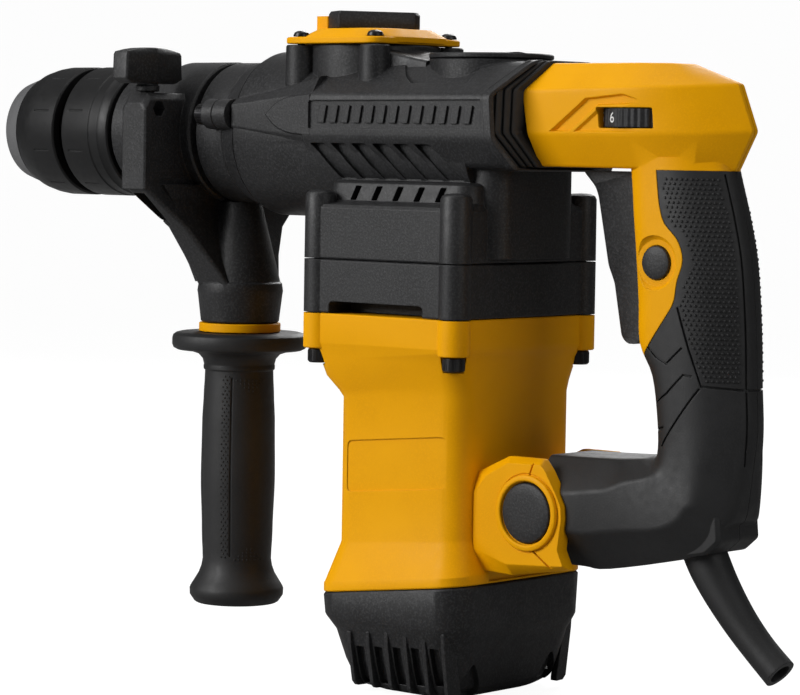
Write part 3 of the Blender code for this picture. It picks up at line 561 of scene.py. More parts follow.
def make_stage():
    """A pale bowl: a flat floor that curves up into a wall all round."""
    profile = [(0.0, 0.0), (2600.0, 0.0)]
    for step in range(1, 9):
        angle = math.radians(90 * step / 8)
        profile.append((2600 + 900 * math.sin(angle), 900 * (1 - math.cos(angle))))
    profile.append((3500.0, 2600.0))
    points, faces = [(0, 0, -0.4)], []
    sides = 96
    for radius, height in profile[1:]:
        for i in range(sides):
            angle = 2 * math.pi * i / sides
            points.append((radius * math.cos(angle), radius * math.sin(angle), height - 0.4))
    for i in range(sides):
        j = (i + 1) % sides
        faces.append((0, 1 + i, 1 + j))
        for k in range(len(profile) - 2):
            low, high = 1 + k * sides, 1 + (k + 1) * sides
            faces.append((low + i, high + i, high + j, low + j))
    bowl = solid("stage_bowl", points, faces)
    material, tree, shader = new_material("pale_paper")
    seen = tree.nodes.new("ShaderNodeLightPath").outputs["Is Camera Ray"]
    tone = blend_colour(tree, seen, (0.30, 0.30, 0.30), (0.10, 0.10, 0.10))
    tree.links.new(tone, shader.inputs["Base Color"])
    tree.links.new(spread(tree, seen, 0.0, 1.0, 0.0, 0.95), shader.inputs["Emission Strength"])
    shader.inputs["Emission Color"].default_value = (1.0, 1.0, 1.0, 1.0)
    shader.inputs["Roughness"].default_value = 0.9
    bowl.data.materials.append(material)
    bowl.data.shade_smooth()


def make_light():
    world = bpy.data.worlds.new("studio")
    world.use_nodes = True
    world.node_tree.nodes["Background"].inputs["Color"].default_value = (1.0, 1.0, 1.0, 1.0)
    world.node_tree.nodes["Background"].inputs["Strength"].default_value = 0.28
    bpy.context.scene.world = world
    bpy.context.scene.view_settings.view_transform = "Standard"
    softbox("key", (1.35, -0.75, 0.80), (0.8, 0.9), 25)
    softbox("top", (0.1, -0.1, 1.5), (1.0, 1.0), 5.5)
    softbox("rear_fill", (0.2, 1.5, 0.7), (0.7, 0.9), 4.0)
    softbox("far_rim", (-1.2, -0.6, 0.9), (0.8, 0.8), 12)


# ---------------------------------------------------------------- gear housing


BLOCK_LEVELS = (
    # height, how far the side, the front and the rear lie inside the block's outline
    (FLANGE_TOP + 0.3, 0.5, 0.5, 0.5),
    (FLANGE_TOP + 0.9, 0, 0, 0),
    (191.8, 0, 0, 0),
    (193.2, 0.9, 0.9, 0.9),
    (193.9, 6.8, 1.4, 1.2),
    (194.8, 8.6, 1.8, 1.6),
    (201.6, 9.8, 2.2, 2),
    (202.4, 11.0, 3, 3),
    (203.0, 16.5, 4, 3),
    (212, 19, 4, 3),
)
FLANGE_LEVELS = (
    (MOTOR_TOP + GAP, 0.4, 0.4, 0.4),
    (MOTOR_TOP + 0.8, 0, 0, 0),
    (FLANGE_TOP - 0.5, 0, 0, 0),
    (FLANGE_TOP, 0.5, 0.5, 0.5),
)


def block_of_rings(name, levels):
    """Part of the black block over the motor, from its levels."""
    rings = []
    for height, side, front, rear in levels:
        rings.append(round_ring(BLOCK_X - side, BLOCK_FRONT + front, BLOCK_REAR - rear, 8, height))
    return loft(name, rings)


def gear_housing():
    body = turned(
        "gear_housing_shell",
        [(-92, 0), (-92, 32.8), (-91.6, 33.6), (-90.6, 34), (-18, 34), (-16, 33.2), (31, 33.2), (31, 0)],
        "Y",
        BARREL,
    )
    section = mirrored([(30, 208), (36.5, 219.5), (36.5, 236.5), (18, 250)])
    slant = [8.0, 1.5, 0.0, 7.0, 7.0, 0.0, 1.5, 8.0]
    stations = (
        # y, scales across and up, share of the rear edge's slant
        (-60.0, 0.80, 0.70, 0.0),
        (-50.0, 1.0, 1.0, 0.0),
        (43.4, 1.0, 1.0, 1.0),
        (43.8, 1.03, 1.02, 1.0),
        (47.2, 1.03, 1.02, 1.0),
        (47.8, 0.98, 0.98, 1.0),
        (43.0, 0.80, 0.88, 0.0),
    )
    rings = []
    for y, across, tall, share in stations:
        corners = []
        for (x, z), lean in zip(section, slant):
            corners.append((x * across, y + lean * share, SPINE_Z + (z - SPINE_Z) * tall))
        rings.append(soft(corners, (3, 2, 2, 4, 4, 2, 2, 3)))
    spine = loft("housing_spine", rings)
    moat = ring_of("lid_moat", 34, 24.4, 241.2, 262, at=LID)
    keep_within(moat, block("moat_zone", (-60, -40, 230), (60, 30, 270)))
    cut(spine, moat)
    heights = (FLANGE_TOP + 2, 190, 206, 216)
    column = loft("housing_column", [round_ring(26, 10, 43.5, 10, z) for z in heights])
    bosses = [
        turned("selector_boss", [(236, 0), (236, 26.5), (256.4, 26.5), (257, 25.9), (257, 0)], at=SELECTOR),
        turned("lid_boss", [(225, 0), (225, 24.5), (250.6, 24.5), (251.1, 24), (251.1, 0)], at=LID),
        loft("saddle", saddle_rings()),
    ]
    join(body, spine, block_of_rings("housing_block", BLOCK_LEVELS), column, *bosses)
    lobes = []
    for x, y in COVER_SCREWS:
        profile = [(238, 0), (238, 6.4), (256.2, 6.2), (256.8, 5.7), (256.8, 0)]
        lobes.append(turned(f"lobe_{x}_{y}", profile, at=(x, y, 0), sides=40))
    for x, y in BOLT_PLACES:
        base = FLANGE_TOP + 0.4
        profile = [(base, 0), (base, 6.3), (196.4, 6.2), (197.8, 5.5), (198.6, 4.0), (198.9, 0)]
        lobes.append(turned(f"boss_{x}_{y}", profile, at=(x, y, 0), sides=40))
    join(body, *lobes)
    for side in (-1, 1):
        join(body, loft(f"side_rib_{side}", side_rib_rings(side)), side_pad(side))
    cut(body, gather("housing_cuts", housing_cuts()))
    scoops = gather("scoops", scoop_tools())
    cut(scoops, bar("scoop_floor", 32.4, -60, 50, "Y", BARREL, 96))
    cut(body, scoops)
    dress(body, "black_plastic", "housing", ("gear_housing",))
    nameplate_bars()


RIB_STATIONS = (
    # y, half heights of the flat and of the whole rib, x of the flat
    (-91.7, 4.4, 7.0, 34.4),
    (-84, 5.2, 8.2, 34.6),
    (-73, 6.4, 10.0, 34.8),
    (-60, 7.6, 13.0, 35.2),
    (-46, 8.4, 16.0, 35.8),
)


def side_rib_rings(side):
    """The faceted rib from the front screw's boss back to the side pad, which starts as a lens."""
    rings = []
    for y, flat, reach, out in RIB_STATIONS:
        corners = [(20, -reach - 1.5), (31.0, -reach), (out, -flat)]
        corners += [(out, flat), (31.0, reach), (20, reach + 1.0)]
        rings.append(soft([(side * x, y, SPINE_Z + z) for x, z in corners], (2, 1.4, 0.5, 0.5, 1.4, 2)))
    return rings


def side_pad(side):
    """The raised pad on the rib, pointed at the front like a lens."""
    lens = [(-71.8, 228.4), (-66.5, 233.2), (-59.5, 235.8), (-46, 237.2)]
    lens += [(-46, 219.8), (-59.5, 221.0), (-66.5, 223.6)]
    rings = []
    for x, grow in ((33.0, 1.0), (35.4, 1.0), (36.6, 0.93)):
        shape = soft(lens, (0.3, 6, 6, 0.2, 0.2, 6, 6), 6)
        rings.append([(side * x, -50 + (y + 50) * grow, 228.5 + (z - 228.5) * grow) for y, z in shape])
    return loft(f"side_pad_{side}", rings)


def saddle_rings():
    """A hollow-sided rib between the selector boss and the crank chamber's boss."""
    stations = ((-26, 24, 256), (-20, 22, 254.4), (-14, 20.5, 253.0), (-8, 20, 251.8), (0, 20, 250.4))
    rings = []
    for y, half, top in stations:
        rings.append(soft(mirrored([(half, y, 240), (half * 0.96, y, top)]), 1.6))
    return rings


def housing_cuts():
    tools = []
    for side in (-1, 1):
        plate = soft([(-46.9, 223.0), (42.6, 223.6), (42.6, 234.8), (-46.9, 234.2)], 1.0)
        tools.append(prism(f"plate_{side}", plate, side * 35.5, side * 40, "YZ"))
        for index in range(5):
            low = -25.0 + 11.0 * index
            outline = soft([(low, 195.0), (low + 3.0, 195.0), (low + 5.2, 200.6), (low + 2.2, 200.6)], 0.5)
            tools.append(prism(f"vent_{side}_{index}", outline, side * 26, side * 45, "YZ"))
    return tools


def scoop_tools():
    tools = []
    for side in (-1, 1):
        for index in range(6):
            front = -47.0 + 11.0 * index
            corners = [(front, 217.4), (front + 7.6, 217.4), (front + 20.5, 203.4), (front + 12.0, 203.4)]
            tools.append(prism(f"scoop_{side}_{index}", soft(corners, 0.9), side * 20, side * 38, "YZ"))
    return tools


def nameplate_bars():
    """A plain row of slanted raised bars in the side plates, where lettering would be."""
    for side, word in ((-1, "right"), (1, "left")):
        bars = []
        for index in range(13):
            front = -42.4 + 6.3 * index
            outline = [(front, 225.4), (front + 3.6, 225.4), (front + 5.0, 232.4), (front + 1.4, 232.4)]
            bars.append(prism(f"bar_{word}_{index}", soft(outline, 0.5), side * 35.2, side * 36.4, "YZ"))
        dress(gather(f"plate_pattern_{word}", bars), "black_plastic", "housing")


def front_housing():
    profile = [
        (-172.6, 15.6), (-172.6, 24.5), (-171.6, 25.5), (-117.5, 25.5), (-117.5, 28.7),
        (-116.7, 29.5), (-102.6, 29.5), (-102.0, 29.1), (-101.4, 29.1), (-101, 30.2),
        (-98.5, 30.9), (-95.5, 31.9), (-93.0, 32.9), (-92.3, 33.3), (-92.3, 17.4), (-119, 17.4),
        (-119, 15.6),
    ]
    body = turned("front_housing_shell", profile, "Y", BARREL)
    for side in (-1, 1):
        at = (side * FRONT_SCREW_X, 0, FRONT_SCREW_Z)
        boss = [(-106.6, 0), (-106.6, 5.7), (-106.1, 6.2), (-92.7, 6.2), (-92.7, 0)]
        join(body, turned(f"front_boss_{side}", boss, "Y", at, 40))
        seat = bar(f"front_seat_{side}", 5.0, -119, -106.6, "Y", at, 32)
        hole = bar(f"front_hole_{side}", 2.9, -108, -91, "Y", at, 24)
        line = ring_of(f"front_line_{side}", 7.0, 5.8, -100.4, -99.9, "Y", at, 48)
        cut(body, seat, hole, line)
    dress(body, "black_plastic", "housing", ("front_housing",))


def intermediate_flange():
    body = block_of_rings("flange_shell", FLANGE_LEVELS)
    bosses = []
    for x, y in BOLT_PLACES:
        bosses.append(bar(f"flange_boss_{x}_{y}", 6.3, MOTOR_TOP + 0.35, FLANGE_TOP - 0.05, at=(x, y, 0)))
    join(body, *bosses)
    for side in (-1, 1):
        slot = soft([(-28, 147), (21, 147), (21, 154.9), (-28, 154.9)], (0.1, 0.1, 2.2, 2.2))
        cut(body, prism(f"air_slot_{side}", slot, side * 30, side * 48, "YZ"))
    cut(body, bar("fan_recess", 28.5, 149, 156, sides=64), bar("armature_space", 11.6, 155, 173, sides=48))
    dress(body, "black_plastic", "housing", ("intermediate_flange",))


# ---------------------------------------------------------------- motor housing and cap


def seam(y, offset=0.0):
    """Height of the slanted joint between the motor housing and its cap, at a depth y."""
    return 42.0 + 0.125 * y + offset


def motor_housing():
    stations = (
        (41.9, -35.8, 38.6, 12, lambda y: seam(y, 0.3)),
        (42.3, -36.2, 39.0, 12, lambda y: seam(y, 0.8)),
        (42.3, -36.2, 39.0, 12, lambda y: seam(y, 4.0)),
        (42.0, -35.9, 38.7, 12, lambda y: seam(y, 4.6)),
        (37.2, -31.2, 34.9, 10.2, lambda y: 60.2 + 0.09 * y),
        (36.9, -30.8, 34.6, 10, lambda y: 61.4 + 0.09 * y),
        (36.9, -30.8, 34.6, 10, lambda y: 118 + 0.05 * y),
        (37.8, -32.2, 34.9, 9.8, lambda y: 121.5 + 0.08 * y),
        (40.6, -36.2, 35.8, 9.2, lambda y: 129 + 0.12 * y),
        (41.8, -38.0, 36.4, 8.6, lambda y: 133.5 + 0.06 * y),
        (43.0, -41.0, 37.1, 8, lambda y: 137.2),
        (43.4, -41.4, 37.4, 8, lambda y: 138.4),
        (43.4, -41.4, 37.4, 8, lambda y: MOTOR_TOP - 0.5),
        (43.0, -41.0, 37.0, 8, lambda y: MOTOR_TOP),
    )
    body = loft("motor_shell", [round_ring(*station) for station in stations])
    bosses, pockets = [], []
    for x, y in BOLT_PLACES:
        profile = [(135.9, 0), (135.9, 5.9), (136.3, 6.3), (MOTOR_TOP - 0.1, 6.3), (MOTOR_TOP - 0.1, 0)]
        bosses.append(turned(f"motor_boss_{x}_{y}", profile, at=(x, y, 0), sides=40))
        pockets.append(bar(f"pocket_{x}_{y}", 5.1, 129.4, 135.8, at=(x, y, 0), sides=32))
    join(body, yoke(), *bosses)
    cut(body, *pockets)
    space = prism("eye_space", rectangle(38.0, 84, 48, 103), -22, 22, "YZ")
    label = []
    for side in (-1, 1):
        outline = soft([(-23.0, 79), (28.5, 84), (28.5, 104.5), (-23.0, 99.5)], (2.5, 4, 4, 2.5))
        label.append(prism(f"label_{side}", outline, side * 36.3, side * 39, "YZ"))
    for low, high in ((62, 75.5), (101.5, 113.5)):
        ribs = [(-22, -32.6, low), (22, -32.6, low), (22, -32.6, high), (-22, -32.6, high)]
        roots = [(x * 1.06, -28, z + (-1.5 if z == low else 1.5)) for x, _, z in ribs]
        join(body, loft(f"front_pad_{low}", [ribs, roots]))
    cut(body, space, *label)
    for side in (-1, 1):
        cut(body, bar(f"cap_pocket_{side}", 12.0, *sorted((side * 26.3, side * 32)), "X", PIVOT, 64))
        cut(body, ring_of(f"cap_line_{side}", 15.2, 14.7, *sorted((side * 27.7, side * 32)), "X", PIVOT, 90))
        upper = slit(f"slit_{side}_top", side, (62.5, 90.8), (65.6, 99.0))
        lower = slit(f"slit_{side}_bottom", side, (64.5, 63.2), (76.0, 55.5))
        cut(body, upper, lower)
    dress(body, "yellow_plastic", "housing", ("motor_housing",))


def slit(name, side, start, end):
    """A narrow straight groove in the side face of the yoke."""
    a, b = Vector(start), Vector(end)
    across = (b - a).normalized().orthogonal() * 0.35
    outline = [a - across, b - across, b + across, a + across]
    return prism(name, outline, side * 27.0, side * 32, "YZ")


YOKE_BORDER = ((76.9, 64), (77.7, 70), (78.6, 76), (78.2, 81), (75.4, 86.1), (70.5, 93.9))


def yoke():
    """The octagonal fork round the handle's lower pivot, chamfered towards its side faces."""
    outline = [(30, 53), (52, 52), (80.6, 56.5), *YOKE_BORDER]
    outline += [(67.0, 98), (50, 98), (34, 90.5), (31, 84), (31, 62)]
    flat = [(36, 61), (52, 56.5), (79.8, 58.2), *YOKE_BORDER]
    flat += [(68.2, 96.0), (52, 95.6), (41.5, 90), (35.5, 83), (35.5, 68)]
    rings = []
    for x, shape in ((-28, flat), (-24.2, outline), (24.2, outline), (28, flat)):
        rings.append(soft([(x, y, z) for y, z in shape], 0.9, 3))
    return loft("pivot_fork", rings)


def arm_relief(side):
    """The space the yoke's rear border needs in the arm, with a gap for the handle's swing."""
    border = [(y + 0.7, z) for y, z in YOKE_BORDER]
    outline = [(40, 40), (83.0, 40), (81.6, 57.5), *border, (66.5, 101), (66.5, 110), (40, 110)]
    return prism(f"arm_relief_{side}", outline, side * 21.72, side * 40, "YZ")


def motor_cap():
    stations = (
        (26.0, -17.0, 23.5, 9, 0),
        (32.6, -23.6, 30.0, 10, 2.5),
        (34.4, -25.4, 31.6, 11, 4.8),
        (36.7, -28.4, 33.4, 11.5, 12),
        (39.5, -31.5, 36.0, 12, 23.6),
        (40.1, -32.4, 36.6, 12, 25.0),
        (41.5, -35.0, 38.0, 12, 28.6),
        (41.9, -35.6, 38.4, 12, 29.8),
        (42.3, -36.2, 39.0, 12, lambda y: seam(y, -0.7)),
        (41.9, -35.8, 38.6, 12, lambda y: seam(y)),
    )
    body = loft("cap_shell", [round_ring(*station) for station in stations])
    inner = []
    for half, front, rear, radius, height in stations:
        raised = height if callable(height) or height >= 3 else height + 1
        inner.append(round_ring(half - 2.6, front + 2.6, rear - 2.6, radius - 1.5, raised))
    core = loft("cap_core", inner)
    tools = []
    for side in (-1, 1):
        for index in range(5):
            front = -15.4 + 9.7 * index
            slant = 0.085 * front
            low, high = 4.4 + slant, 19.6 + slant
            outline = soft([(front, low), (front + 4.6, low), (front + 4.2, high), (front, high)], 0.4)
            tools.append(prism(f"louvre_{side}_{index}", outline, side * 28, side * 46, "YZ"))
    for side in (-1, 1):
        arch = [(17, -1), (31, -1), (29.5, 8), (24.5, 16), (19, 8)]
        outline = soft([(side * x, z) for x, z in arch], 2.6)
        tools.append(prism(f"arch_{side}", outline, 25, 42, "XZ"))
        tools.append(prism(f"front_arch_{side}", outline, -42, -25, "XZ"))
    engrave(body, core, tools)
    fins = []
    for side in (-1, 1):
        for index in range(6):
            fins.append(loft(f"fin_{side}_{index}", fin_rings(side, -17.6 + 9.7 * index)))
    dress(gather("cap_fins", fins), "black_plastic", "housing", bevel=0.25)
    bpy.data.objects.remove(core)
    dress(body, "black_plastic", "housing", ("motor_cap",))


def fin_rings(side, middle):
    """An upright fin beside an intake slot that stands out further towards the bottom."""
    slant = 0.085 * middle
    levels = ((2.0, 30, 35.2), (3.8, 30, 37.0), (20.0 + slant, 34, 39.9), (25.6 + slant, 36, 40.3))
    rings = []
    for z, inner, outer in levels:
        section = ((inner, -1.6), (outer, -0.9), (outer, 0.9), (inner, 1.6))
        rings.append([(side * x, middle + y, z) for x, y in section])
    return rings


# ---------------------------------------------------------------- selector, lid and screws


def selector_cover():
    rings = []
    for height, inset in ((257.3, 0.3), (257.7, 0), (259.5, 0), (260, 0.5)):
        rings.append(round_ring_at(0, SELECTOR_Y - 0.9, 28.0 - inset, 25.6 - inset, 7.0, height))
    rim = loft("cover_rim", rings)
    plateau = []
    for height, half in ((258, 25.6), (260.1, 25.6), (260.6, 24.9), (263.2, 20.4), (263.6, 19.8)):
        plateau.append(round_ring(half, SELECTOR_Y - half, SELECTOR_Y + half, half * 0.62, height))
    post = [round_ring_at(7.5, SELECTOR_Y - 19.35, 3.5, 3.15, 0.6, z) for z in (259.4, 268.5, 269)]
    pillar = loft("stop_pillar", post)
    join(rim, loft("cover_plateau", plateau), pillar)
    seats = [bar(f"seat_{x}_{y}", 3.9, 260.0, 268, at=(x, y, 0), sides=40) for x, y in COVER_SCREWS]
    holes = [bar(f"hole_{x}_{y}", 2.0, 255, 262, at=(x, y, 0), sides=20) for x, y in COVER_SCREWS]
    shaft = bar("lever_hole", 5.4, 255, 266, at=SELECTOR, sides=48)
    cut(rim, *seats, *holes, shaft)
    dress(rim, "yellow_plastic", "housing", ("selector_cover",), bevel=0.25)


def round_ring_at(cx, cy, half_x, half_y, radius, height):
    corners = [(cx - half_x, cy - half_y, height), (cx + half_x, cy - half_y, height)]
    corners += [(cx + half_x, cy + half_y, height), (cx - half_x, cy + half_y, height)]
    return soft(corners, radius)


def on_lever(x, y):
    """A point given along and across the selector lever, in the tool's frame."""
    along, across = math.cos(LEVER_TURN), math.sin(LEVER_TURN)
    return x * along - y * across, SELECTOR_Y + x * across + y * along


def selector_lever():
    corners = [(18, 6.8), (-15, 6.8), (-18, 3.8), (-18, -3.8), (-15, -6.8), (18, -6.8)]
    rings = []
    for height, inset in ((263.9, 0.2), (264.4, 0), (269.6, 0), (270.8, 0.7)):
        shape = [on_lever(x * (1 - inset / 18), y * (1 - inset / 7)) for x, y in corners]
        rings.append(soft([(x, y, height) for x, y in shape], 0.9))
    lever = loft("lever_bar", rings)
    mark = [(9, 0.7), (9, -0.7), (16, -0.7), (16, 0.7)]
    cut(lever, prism("lever_mark_cut", [on_lever(x, y) for x, y in mark], 270.4, 272))
    join(lever, bar("lever_shaft", 5.0, 247, 266, at=SELECTOR, sides=40))
    dress(lever, "black_plastic", "selector", ("selector_lever",))


def crank_lid():
    profile = [
        (246, 0), (246, 21.6), (251.4, 21.6), (251.4, 24.3), (251.7, 24.7), (252.9, 24.7),
        (253.4, 24.2), (253.4, 22.6), (252.9, 22.2), (252.9, 8.0), (253.2, 7.6), (253.2, 0),
    ]
    dress(turned("lid_disc", profile, at=LID), "black_plastic", "housing", ("crank_lid",), smooth=25)


def dome_screw(name, at, node):
    """A small pan-head screw with a cross recess."""
    x, y, z = at
    profile = [(-10.5, 0), (-10.5, 1.5), (0, 1.5), (0, 3.3), (0.6, 3.3), (1.6, 2.8), (2.2, 1.7), (2.4, 0)]
    head = turned(name, profile, at=at, sides=40, phase=0.03)
    slots = []
    turn = Matrix.Rotation(math.radians(17), 2)
    for along, across in ((2.0, 0.42), (0.42, 2.0)):
        corners = rectangle(-along, along, -across, across)
        outline = [turn @ Vector(corner) + Vector((x, y)) for corner in corners]
        slots.append(prism(f"{name}_{along}", outline, z + 1.3, z + 3))
    cut(head, *slots)
    dress(head, "blackened_steel", "housing", (node,))


def socket_bolt(name, axis, at, node):
    """A socket-head bolt with a knurled head; `at` is under the head, and the axis points to the shank."""
    profile = [(48, 0), (48, 2.4), (0, 2.4), (0, 4.1), (-0.3, 4.3), (-4.9, 4.3), (-5.5, 3.7), (-5.5, 0)]
    head = turned(name, profile, axis, at, 40)
    cut(head, turned(f"{name}_hex", [(-7, 0), (-7, 2.3), (-2.6, 2.3), (-2.6, 0)], axis, at, 6))
    knurls = []
    for index in range(24):
        angle = 2 * math.pi * index / 24
        rings = []
        for along in (-0.7, -4.7):
            ridge = ((4.1, -0.07), (4.45, 0.0), (4.1, 0.07))
            rings.append([around(axis, at, radius, along, angle + lean) for radius, lean in ridge])
        knurls.append(loft(f"{name}_knurl_{index}", rings))
    dress(gather(f"{name}_knurling", knurls), "blackened_steel", "housing")
    dress(head, "blackened_steel", "housing", (node,))


def screws():
    for index, (x, y) in enumerate(BOLT_PLACES):
        socket_bolt(f"block_bolt_{index + 1}", "Z", (x, y, 135.5), f"motor_bolt_{index + 1}")
    for index, (x, y) in enumerate(COVER_SCREWS):
        dome_screw(f"lid_screw_{index + 1}", (x, y, 260.3), f"cover_screw_{index + 1}")
    for side, word in ((-1, "right"), (1, "left")):
        at = (side * FRONT_SCREW_X, -106.9, FRONT_SCREW_Z)
        socket_bolt(f"nose_bolt_{word}", "Y", at, f"front_screw_{word}")


# ---------------------------------------------------------------- chuck


def chuck():
    cap_profile = [
        (-243.6, 9.2), (-244, 9.8), (-244, 20.2), (-243.6, 21.0), (-242.8, 21.7), (-238.6, 22.9),
        (-233.3, 24.4), (-233.3, 11.3), (-238.3, 11.3), (-238.3, 6.2), (-240, 6.2),
    ]
    dress(turned("lip", cap_profile, "Y", BARREL), "grey_rubber", "spindle", ("front_cap",))
    sleeve_profile = [
        (-233, 11.4), (-233, 23.9), (-232.4, 24.8), (-229, 26.3), (-224, 27.5), (-220, 28.0),
        (-206.7, 28.0), (-206, 27.3), (-206, 24), (-223, 24), (-225, 20), (-225, 11.4),
    ]
    sleeve = turned("sleeve", sleeve_profile, "Y", BARREL)
    cut(sleeve, gather("sleeve_dashes", dash_cuts(-219.0, -210.0, 28.0, 10)))
    dress(sleeve, "black_plastic", "sleeve", ("chuck_sleeve",), material="smooth_black")
    cage = [(-212, 11.3), (-212, 23.4), (-201.3, 23.4), (-201.3, 14.4), (-203.3, 14.4), (-203.3, 11.3)]
    dress(turned("cage", cage, "Y", BARREL), "blackened_steel", "spindle", ("ball_cage",))
    collar_profile = [
        (-201, 14.4), (-201, 27.1), (-200.3, 27.9), (-199.4, 28.0), (-184.2, 28.0), (-183.6, 27.6),
        (-179.0, 27.5), (-178.4, 27.1), (-174.0, 26.9), (-173.3, 26.2), (-173.3, 14.4),
    ]
    collar = turned("collar", collar_profile, "Y", BARREL)
    cut(collar, gather("collar_dashes", dash_cuts(-197.0, -188.5, 28.0, 10)))
    dress(collar, "black_plastic", "spindle", ("rear_collar",), material="smooth_black")


def dash_cuts(start, end, radius, count):
    """Short shallow marks along the axis, spaced evenly round a sleeve."""
    tools = []
    for index in range(count):
        angle = 2 * math.pi * (index + 0.5) / count
        rings = []
        for along in (start, end):
            corners = []
            for lift, lean in ((-0.3, -0.012), (1, -0.012), (1, 0.012), (-0.3, 0.012)):
                corners.append(around("Y", BARREL, radius + lift, along, angle + lean))
            rings.append(corners)
        tools.append(loft(f"dash_{start}_{index}", rings))
    return tools


# ---------------------------------------------------------------- side handle


def side_clamp():
    band = turned(
        "clamp_band",
        [(-146, 25.8), (-146, 29.0), (-145.2, 29.8), (-121.3, 29.8), (-120.5, 29.0), (-120.5, 25.8)],
        "Y",
        BARREL,
    )
    hub_profile = [(141, 0), (141, 16.0), (141.6, 16.6), (153.4, 18.0), (154.2, 18.2)]
    hub_profile += [(157.6, 17.7), (158.4, 16.9), (192, 8.6), (192, 0)]
    hub = turned("clamp_hub", hub_profile, at=GRIP)
    web = [(-41, 199), (41, 199), (27, 181), (14.5, 158), (-14.5, 158), (-27, 181)]
    extras = [hub, prism("clamp_web", web, -131, -123.3, "XZ")]
    for side in (-1, 1):
        extras.append(loft(f"lug_{side}", lug_rings(side)))
        extras.append(loft(f"arm_{side}", arm_rings(side)))
    join(band, *extras)
    tools = [
        bar("neck_space", 25.8, -150, -118, "Y", BARREL, 96),
        turned("depth_hole", [(-145, 0), (-145, 3.5), (-120, 3.5), (-120, 0)], "Y", (42, 0, 230.5), 6),
        bar("knob_hole", 3.3, 233, 240, at=KNOB, sides=32),
        bar("stud_hole", 5.3, 138, 176, at=GRIP, sides=32),
    ]
    for side in (-1, 1):
        outline = [(side * 47.5, 195.4), (side * 31.5, 181.5), (side * 29.0, 184.5), (side * 41.5, 196.6)]
        tools.append(prism(f"arm_recess_{side}", soft(outline, 0.6), -135.4, -129.0, "XZ"))
    cut(band, *tools)
    dress(band, "black_plastic", "clamp", ("side_clamp",), smooth=28)


def lug_rings(side):
    """The upright box of the clamp beside the neck, chamfered all round its top."""
    stations = (
        # x, height of the top, how far the front and rear faces lie inside the box
        (17, 231.0, 0.8),
        (20.6, 234.2, 0),
        (23.4, 237.0, 0),
        (46.8, 237.0, 0),
        (49.4, 233.4, 0),
        (50, 232.6, 0.9),
    )
    rings = []
    for x, top, inset in stations:
        corners = [(-140, 197), (-126, 197), (-126, top - 2.8)]
        corners += [(-128.4, top), (-137.6, top), (-140, top - 2.8)]
        place = [(side * x, KNOB[1] + (y - KNOB[1]) * (1 - inset / 7), z) for y, z in corners]
        rings.append(soft(place, 0.6, 3))
    return rings


def arm_rings(side):
    """The arm from the lug down to the hub."""
    sections = (
        (212, (17.5, 49.4), (-139.7, -126.1)),
        (198.5, (16, 49.4), (-139.7, -126.0)),
        (196.5, (15, 48.6), (-139.2, -125.8)),
        (181, (5, 30), (-134.5, -121.0)),
        (169, (3, 22.5), (-132.5, -116)),
        (157, (1, 16.5), (-130, -110)),
    )
    rings = []
    for z, (x0, x1), (y0, y1) in sections:
        corners = [(x0, y0), (x1 - 3, y0), (x1, y0 + 3), (x1, y1 - 1.5), (x1 - 1.5, y1), (x0, y1)]
        rings.append(soft([(side * x, y, z) for x, y in corners], 0.8, 3))
    return rings


KNOB_LEVELS = (
    # height, half length and half thickness of the wing knob
    (240.8, 12.0, 4.8),
    (241.2, 13.6, 5.4),
    (242.8, 16.4, 6.0),
    (252.6, 16.0, 6.0),
    (253.8, 15.4, 5.7),
    (254.8, 11.0, 5.2),
    (255.4, 7.0, 5.0),
    (255.7, 2.5, 3.8),
)


def depth_knob():
    """A lens-shaped wing knob with an upright crease along each face."""
    rings = []
    for z, wide, thick in KNOB_LEVELS:
        tip = 0.72 * thick
        corners = [(-wide, -tip), (0, -thick), (wide, -tip), (wide, tip), (0, thick), (-wide, tip)]
        ring = [(KNOB[0] + x, KNOB[1] + y, z) for x, y in corners]
        rings.append(soft(ring, (1.2, 0.4, 1.2, 1.2, 0.4, 1.2)))
    knob = loft("wing_knob", rings)
    stem = [(235.3, 0), (235.3, 2.9), (237.5, 2.9), (237.5, 4.6), (237.9, 5.0)]
    stem += [(239.6, 5.0), (240.2, 4.4), (242.5, 4.4), (242.5, 0)]
    join(knob, turned("wing_stem", stem, at=KNOB, sides=48))
    dress(knob, "black_plastic", "depth_knob", ("depth_knob",), smooth=28)


def grip_radius(z):
    """Radius of the side grip's waist and belly between its flange and its end."""
    marks = ((40, 14.6), (52, 15.1), (75, 15.8), (98, 15.5), (112, 14.9), (119, 14.5))
    for (z0, r0), (z1, r1) in zip(marks, marks[1:]):
        if z <= z1:
            t = max(0.0, (z - z0) / (z1 - z0))
            t = t * t * (3 - 2 * t)
            return r0 + (r1 - r0) * t
    return marks[-1][1]


